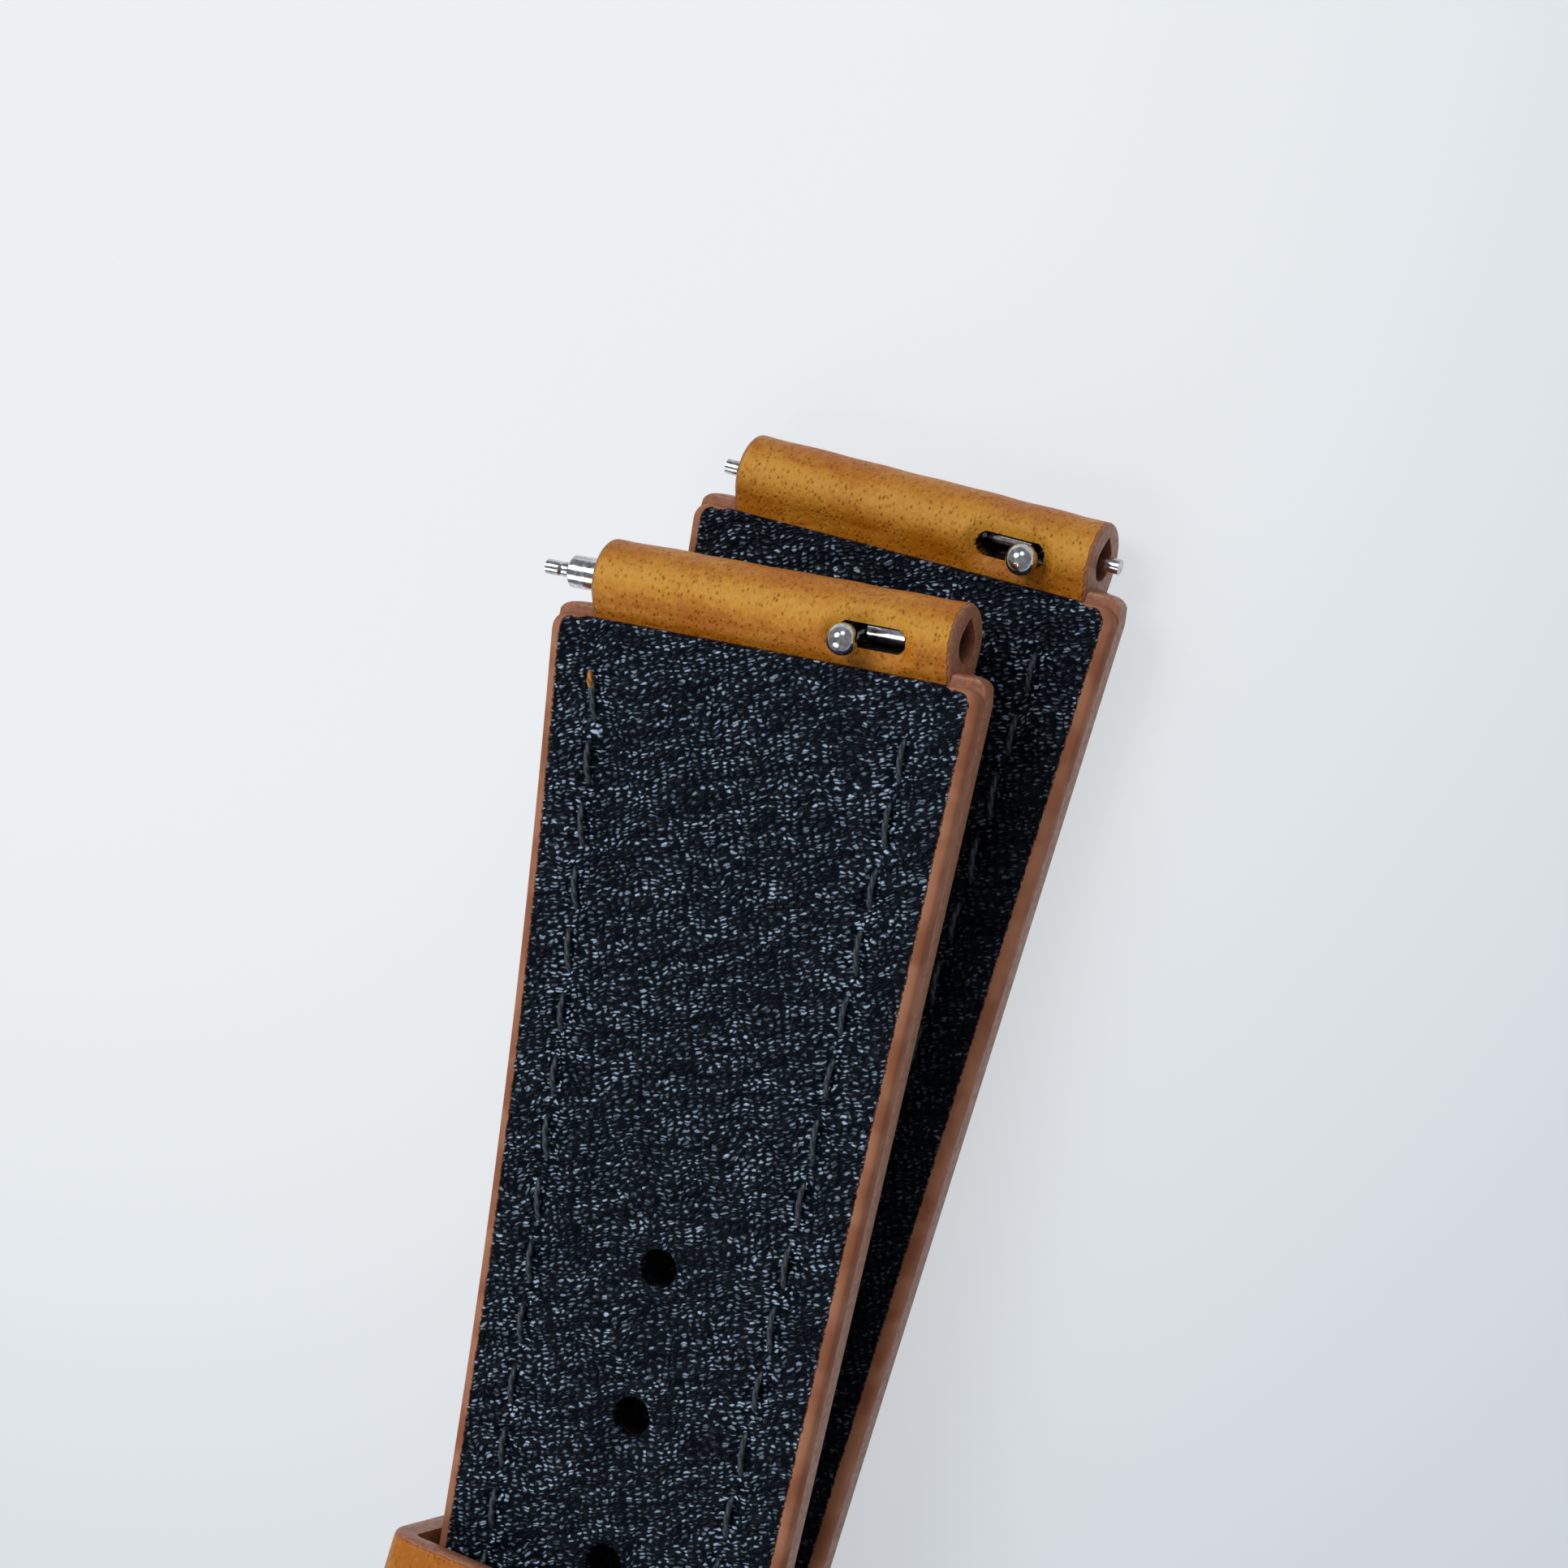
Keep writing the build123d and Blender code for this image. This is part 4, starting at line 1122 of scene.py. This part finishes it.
def stitch_tree(material):
    """Geometry nodes: one sunk stitch on each step along the seam lines."""
    tree = bpy.data.node_groups.new("sewn seam", "GeometryNodeTree")
    face = tree.interface
    face.new_socket("Geometry", in_out="OUTPUT", socket_type="NodeSocketGeometry")
    face.new_socket("Geometry", in_out="INPUT", socket_type="NodeSocketGeometry")
    for name in ("Stitch length", "Thread", "Dive", "Slant", "Jitter"):
        face.new_socket(name, in_out="INPUT", socket_type="NodeSocketFloat")
    face.new_socket("Seed", in_out="INPUT", socket_type="NodeSocketInt")
    given = add(tree, "NodeGroupInput").outputs
    # one stitch is a flat bow whose ends dive into the leather
    dive = add(tree, "ShaderNodeMath", {0: given["Dive"], 1: -1.0}, operation="MULTIPLY")
    ends = []
    for share, height in ((-0.5, dive), (-0.4, given["Thread"]), (0.4, given["Thread"]), (0.5, dive)):
        reach = add(tree, "ShaderNodeMath", {0: given["Stitch length"], 1: share}, operation="MULTIPLY")
        ends.append(add(tree, "ShaderNodeCombineXYZ", {0: reach, 2: height}))
    places = dict(zip(("Start", "Start Handle", "End Handle", "End"), ends))
    bow = add(tree, "GeometryNodeCurvePrimitiveBezierSegment", {"Resolution": 9, **places})
    along = add(tree, "GeometryNodeSplineParameter").outputs["Length"]
    kept = add(tree, "GeometryNodeStoreNamedAttribute",
               {"Geometry": bow, "Name": "thread_along", "Value": along}, domain="POINT", data_type="FLOAT")
    radius = add(tree, "ShaderNodeMath", {0: given["Thread"], 1: 0.5}, operation="MULTIPLY")
    circle = add(tree, "GeometryNodeCurvePrimitiveCircle", {"Resolution": 8, "Radius": radius})
    round_it = add(tree, "GeometryNodeSplineParameter").outputs["Factor"]
    turn = add(tree, "ShaderNodeMath", {0: round_it, 1: 2 * pi}, operation="MULTIPLY")
    ring = add(tree, "GeometryNodeStoreNamedAttribute",
               {"Geometry": circle, "Name": "thread_turn", "Value": turn}, domain="POINT", data_type="FLOAT")
    tube = add(tree, "GeometryNodeCurveToMesh", {"Curve": kept, "Profile Curve": ring, "Fill Caps": True})
    along = add(tree, "GeometryNodeInputNamedAttribute", {"Name": "thread_along"}, data_type="FLOAT")
    turn = add(tree, "GeometryNodeInputNamedAttribute", {"Name": "thread_turn"}, data_type="FLOAT")
    # two plies that go once round in four thread thicknesses
    wound = add(tree, "ShaderNodeMath", {0: along, 1: given["Thread"]}, operation="DIVIDE")
    wound = add(tree, "ShaderNodeMath", {0: wound, 1: pi}, operation="MULTIPLY")
    ply = add(tree, "ShaderNodeMath", {0: turn, 1: 2.0, 2: wound}, operation="MULTIPLY_ADD")
    tube = add(tree, "GeometryNodeStoreNamedAttribute", {"Geometry": tube, "Name": "ply", "Value": ply},
               domain="POINT", data_type="FLOAT")
    # each stitch lies along its seam, slanted and stretched a little differently
    points = add(tree, "GeometryNodeMeshToPoints", {"Mesh": given["Geometry"], "Radius": 0.1 * MM})
    line = add(tree, "GeometryNodeInputNamedAttribute", {"Name": "along"}, data_type="FLOAT_VECTOR")
    up = add(tree, "GeometryNodeInputNamedAttribute", {"Name": "up"}, data_type="FLOAT_VECTOR")
    turned = add(tree, "FunctionNodeAlignRotationToVector", {"Vector": up}, axis="Z")
    turned = add(tree, "FunctionNodeAlignRotationToVector", {"Rotation": turned, "Vector": line},
                 axis="X", pivot_axis="Z")
    low = add(tree, "ShaderNodeMath", {0: given["Slant"], 1: given["Jitter"]}, operation="SUBTRACT")
    high = add(tree, "ShaderNodeMath", {0: given["Slant"], 1: given["Jitter"]}, operation="ADD")
    slant = add(tree, "FunctionNodeRandomValue", {2: low, 3: high, "Seed": given["Seed"]}, data_type="FLOAT")
    lean = add(tree, "ShaderNodeCombineXYZ", {2: slant.outputs[1]})
    lean = add(tree, "FunctionNodeEulerToRotation", {0: lean})
    turned = add(tree, "FunctionNodeRotateRotation", {0: turned, 1: lean}, rotation_space="LOCAL")
    stretch = add(tree, "FunctionNodeRandomValue", {2: 0.9, 3: 1.08, "Seed": given["Seed"]},
                  data_type="FLOAT")
    scale = add(tree, "ShaderNodeCombineXYZ", {0: stretch.outputs[1], 1: 1.0, 2: 1.0})
    sewn = add(tree, "GeometryNodeInstanceOnPoints", {"Points": points, "Instance": tube, "Rotation": turned,
                                                      "Scale": scale})
    real = add(tree, "GeometryNodeRealizeInstances", {0: sewn})
    real = add(tree, "GeometryNodeSetMaterial", {"Geometry": real, "Material": material})
    real = add(tree, "GeometryNodeSetShadeSmooth", {"Geometry": real})
    add(tree, "NodeGroupOutput", {0: real})
    return tree


def sew(context, name, half, side, steps, thread, seen):
    """Sew steps of (spot, direction) on a side of a half, as one mesh."""
    tree = stitch_tree(thread)
    spots, alongs, ups = [], [], []
    for (x, y), way in steps:
        # the thread is bedded a little below the leather's face
        if side == "lining":
            depth, up = 0.1, half.up(y)
        else:
            depth, up = face_depth(half, half.half_width(y) - abs(x), y) - 0.05, -half.up(y)
        spots.append(half.point(x, y, depth))
        alongs.append((half.point(x + way.x * 0.1, y + way.y * 0.1, depth) - spots[-1]).normalized())
        ups.append(up.normalized())
    data = bpy.data.meshes.new("seam steps")
    data.from_pydata(spots, [], [])
    for layer_name, values in (("along", alongs), ("up", ups)):
        layer = data.attributes.new(layer_name, "FLOAT_VECTOR", "POINT")
        layer.data.foreach_set("vector", [v for vector in values for v in vector])
    base = bpy.data.objects.new("seam steps", data)
    context.scene.collection.objects.link(base)
    modifier = base.modifiers.new("Stitches", "NODES")
    modifier.node_group = tree
    inputs = {item.name: item.identifier for item in tree.interface.items_tree
              if item.item_type == "SOCKET" and item.in_out == "INPUT"}
    sewing = half.sewing
    values = {"Stitch length": seen * MM, "Thread": sewing.thread * MM, "Dive": 0.35 * MM,
              "Slant": sewing.slant, "Jitter": radians(4), "Seed": sewing.seed}
    for label, value in values.items():
        modifier[inputs[label]] = value
    context.view_layer.update()
    made = bpy.data.meshes.new_from_object(base.evaluated_get(context.evaluated_depsgraph_get()))
    base.modifiers.clear()
    bpy.data.objects.remove(base)
    if not made.polygons:
        raise RuntimeError("the seam came out empty")
    finish_piece(name, made, f"{half.name}_half")


class STRAP_OT_stitching(bpy.types.Operator):
    """Sew the seams of each half on the lining and on the outer face"""
    bl_idname = "strap.stitching"
    bl_label = "Stitching"

    def execute(self, context):
        scene = context.scene
        colours, sewing = scene.strap_colours, in_mm(scene.strap_sewing)
        threads = {"lining": waxed_thread("waxed polyester thread, black", colours.thread_dark),
                   "face": waxed_thread("waxed polyester thread, tan", colours.thread_tan)}
        for half in halves(scene):
            for side, thread in threads.items():
                sew(context, f"{half.name}_{side}_stitches", half, side, half.stitches(), thread, sewing.seen)
            if half.is_long:
                # an end of tan thread shows where the left seam starts
                end = (Vector((2.3 - half.half_width(2.8), 2.8)), Vector((0.1, 1.0)).normalized())
                sew(context, "long_thread_end", half, "lining", [end], threads["face"], 0.9)
        return {"FINISHED"}


def node_copy(node):
    """Copy of a CAD node's mesh, which finish_mesh merges."""
    mesh = bmesh.new()
    mesh.from_mesh(frame["nodes"][node].data)
    return mesh


class STRAP_OT_metalwork(bpy.types.Operator):
    """Finish the bars, their springs and the buckle in steel"""
    bl_idname = "strap.metalwork"
    bl_label = "Metalwork"

    def execute(self, context):
        polished = turned_steel("turned and polished stainless steel", "#A6A8AB", 0.1)
        pressed = turned_steel("pressed and polished stainless steel", "#C9CACC", 0.12)
        drawn = turned_steel("bright drawn spring wire", "#A9ABAE", 0.25)
        for name, node in frame["nodes"].items():
            of_buckle = name.startswith("buckle")
            if name.endswith("spring") or not (of_buckle or "_bar_" in name):
                continue
            for slot in node.material_slots:
                slot.material = pressed if of_buckle else polished
        # each bar's spring gets its own copy in drawn wire, and the buckle's spring is cut in two, one half
        # for each side
        for half in ("long", "short"):
            node = f"{half}_bar_spring"
            low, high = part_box(node)
            piece = finish_mesh(f"{half}_bar_spring_wire", node_copy(node), drawn,
                                body_of(frame["nodes"][node])[0], [node], sharp=50)
            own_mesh(piece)
        low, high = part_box("buckle_bar_spring")
        middle = (low + high) / 2
        for side, sign in (("left", -1), ("right", 1)):
            mesh = node_copy("buckle_bar_spring")
            cut = bmesh.ops.bisect_plane(mesh, geom=mesh.verts[:] + mesh.edges[:] + mesh.faces[:],
                                         plane_co=middle, plane_no=(-sign, 0, 0), clear_outer=True)
            rim = [part for part in cut["geom_cut"] if isinstance(part, bmesh.types.BMEdge)]
            bmesh.ops.holes_fill(mesh, edges=rim)
            piece = finish_mesh(f"buckle_bar_spring_{side}", mesh, drawn, "buckle", ["buckle_bar_spring"],
                                sharp=50)
            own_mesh(piece)
        return {"FINISHED"}


# lamps of the stage: direction, distance and size in metres, power in watts
LAMPS = {"key": ((-0.4, 0.42, 0.9), 0.5, 0.26, 1.15),
         "top": ((0.25, 1.0, 0.9), 0.6, 0.3, 0.35),
         "fill": ((-0.35, -0.9, 0.9), 0.6, 0.4, 1.15)}
FLOOR_REACH = 2.0


class STRAP_OT_stage(bpy.types.Operator):
    """Set the floor, the lamps and the camera"""
    bl_idname = "strap.stage"
    bl_label = "Stage"

    def execute(self, context):
        scene = context.scene
        stage = scene.strap_stage
        scene.view_settings.view_transform = "Standard"
        floor = bpy.data.meshes.new("floor")
        corners = ((-1, -1), (1, -1), (1, 1), (-1, 1))
        floor.from_pydata([(FLOOR_REACH * x, FLOOR_REACH * y, 0) for x, y in corners], [], [(0, 1, 2, 3)])
        floor.materials.append(white_board(scene.strap_colours))
        ground = bpy.data.objects.new("floor", floor)
        scene.collection.objects.link(ground)

        world = bpy.data.worlds.new("studio")
        world.use_nodes = True
        scene.world = world
        tree = world.node_tree
        tree.nodes.clear()
        # the air lights the strap at 0.3, and looks white to the camera
        path = add(tree, "ShaderNodeLightPath").outputs["Is Camera Ray"]
        level = add(tree, "ShaderNodeMapRange", {0: path, 3: 0.3, 4: 1.0})
        air = add(tree, "ShaderNodeBackground", {"Color": linear("#F2F5FA"), "Strength": level})
        add(tree, "ShaderNodeOutputWorld", {"Surface": air})

        for name, (way, far, wide, power) in LAMPS.items():
            light = bpy.data.lights.new(name, "AREA")
            light.shape = "DISK"
            light.size = wide
            light.energy = power * stage.lamp_power
            lamp = bpy.data.objects.new(name, light)
            lamp.location = LAID_OVER @ LAMP_AIM * MM + Vector(way).normalized() * far
            lamp.rotation_euler = Vector(way).to_track_quat("Z", "Y").to_euler()
            scene.collection.objects.link(lamp)

        place = LAID_OVER @ CAMERA_PLACE
        back = (place - LAID_OVER @ CAMERA_AIM).normalized()
        right = (LAID_OVER.to_3x3() @ CAMERA_UP).cross(back).normalized()
        turned = Matrix((right, back.cross(right), back)).transposed().to_4x4()
        lens = bpy.data.cameras.new("camera")
        lens.lens = stage.focal_length
        lens.sensor_width = 36
        lens.clip_start = 0.01
        camera = bpy.data.objects.new("camera", lens)
        camera.matrix_world = Matrix.Translation(place * MM) @ turned
        scene.collection.objects.link(camera)
        scene.camera = camera
        return {"FINISHED"}


class STRAP_PT_panel(bpy.types.Panel):
    """Lists the strap's pieces and sizes in the sidebar"""
    bl_label = "Leather Watch Strap"
    bl_space_type = "VIEW_3D"
    bl_region_type = "UI"
    bl_category = "Strap"

    def draw(self, context):
        for operator in OPERATORS:
            self.layout.operator(operator.bl_idname)
        for group_name in GROUPS:
            group = getattr(context.scene, group_name)
            box = self.layout.box()
            for name in group.bl_rna.properties.keys():
                if name not in ("rna_type", "name"):
                    box.prop(group, name)


GROUPS = {"strap_sizes": StrapSizes, "strap_loops": StrapLoops, "strap_sewing": StrapSewing,
          "strap_colours": StrapColours, "strap_stage": StrapStage}
OPERATORS = (STRAP_OT_stage, STRAP_OT_linings, STRAP_OT_outer_leathers, STRAP_OT_keepers, STRAP_OT_stitching,
             STRAP_OT_metalwork)
CLASSES = (*GROUPS.values(), *OPERATORS, STRAP_PT_panel)


def register():
    """Register the classes and give the scene the strap's properties."""
    for kind in CLASSES:
        bpy.utils.register_class(kind)
    for name, group in GROUPS.items():
        setattr(bpy.types.Scene, name, PointerProperty(type=group))


def unregister():
    """Take back what register did."""
    for name in GROUPS:
        delattr(bpy.types.Scene, name)
    for kind in reversed(CLASSES):
        bpy.utils.unregister_class(kind)


def main():
    """Build the stage and all pieces."""
    register()
    bpy.ops.strap.stage()
    bpy.ops.strap.linings()
    bpy.ops.strap.outer_leathers()
    bpy.ops.strap.keepers()
    bpy.ops.strap.stitching()
    bpy.ops.strap.metalwork()


if __name__ == "__main__":
    main()
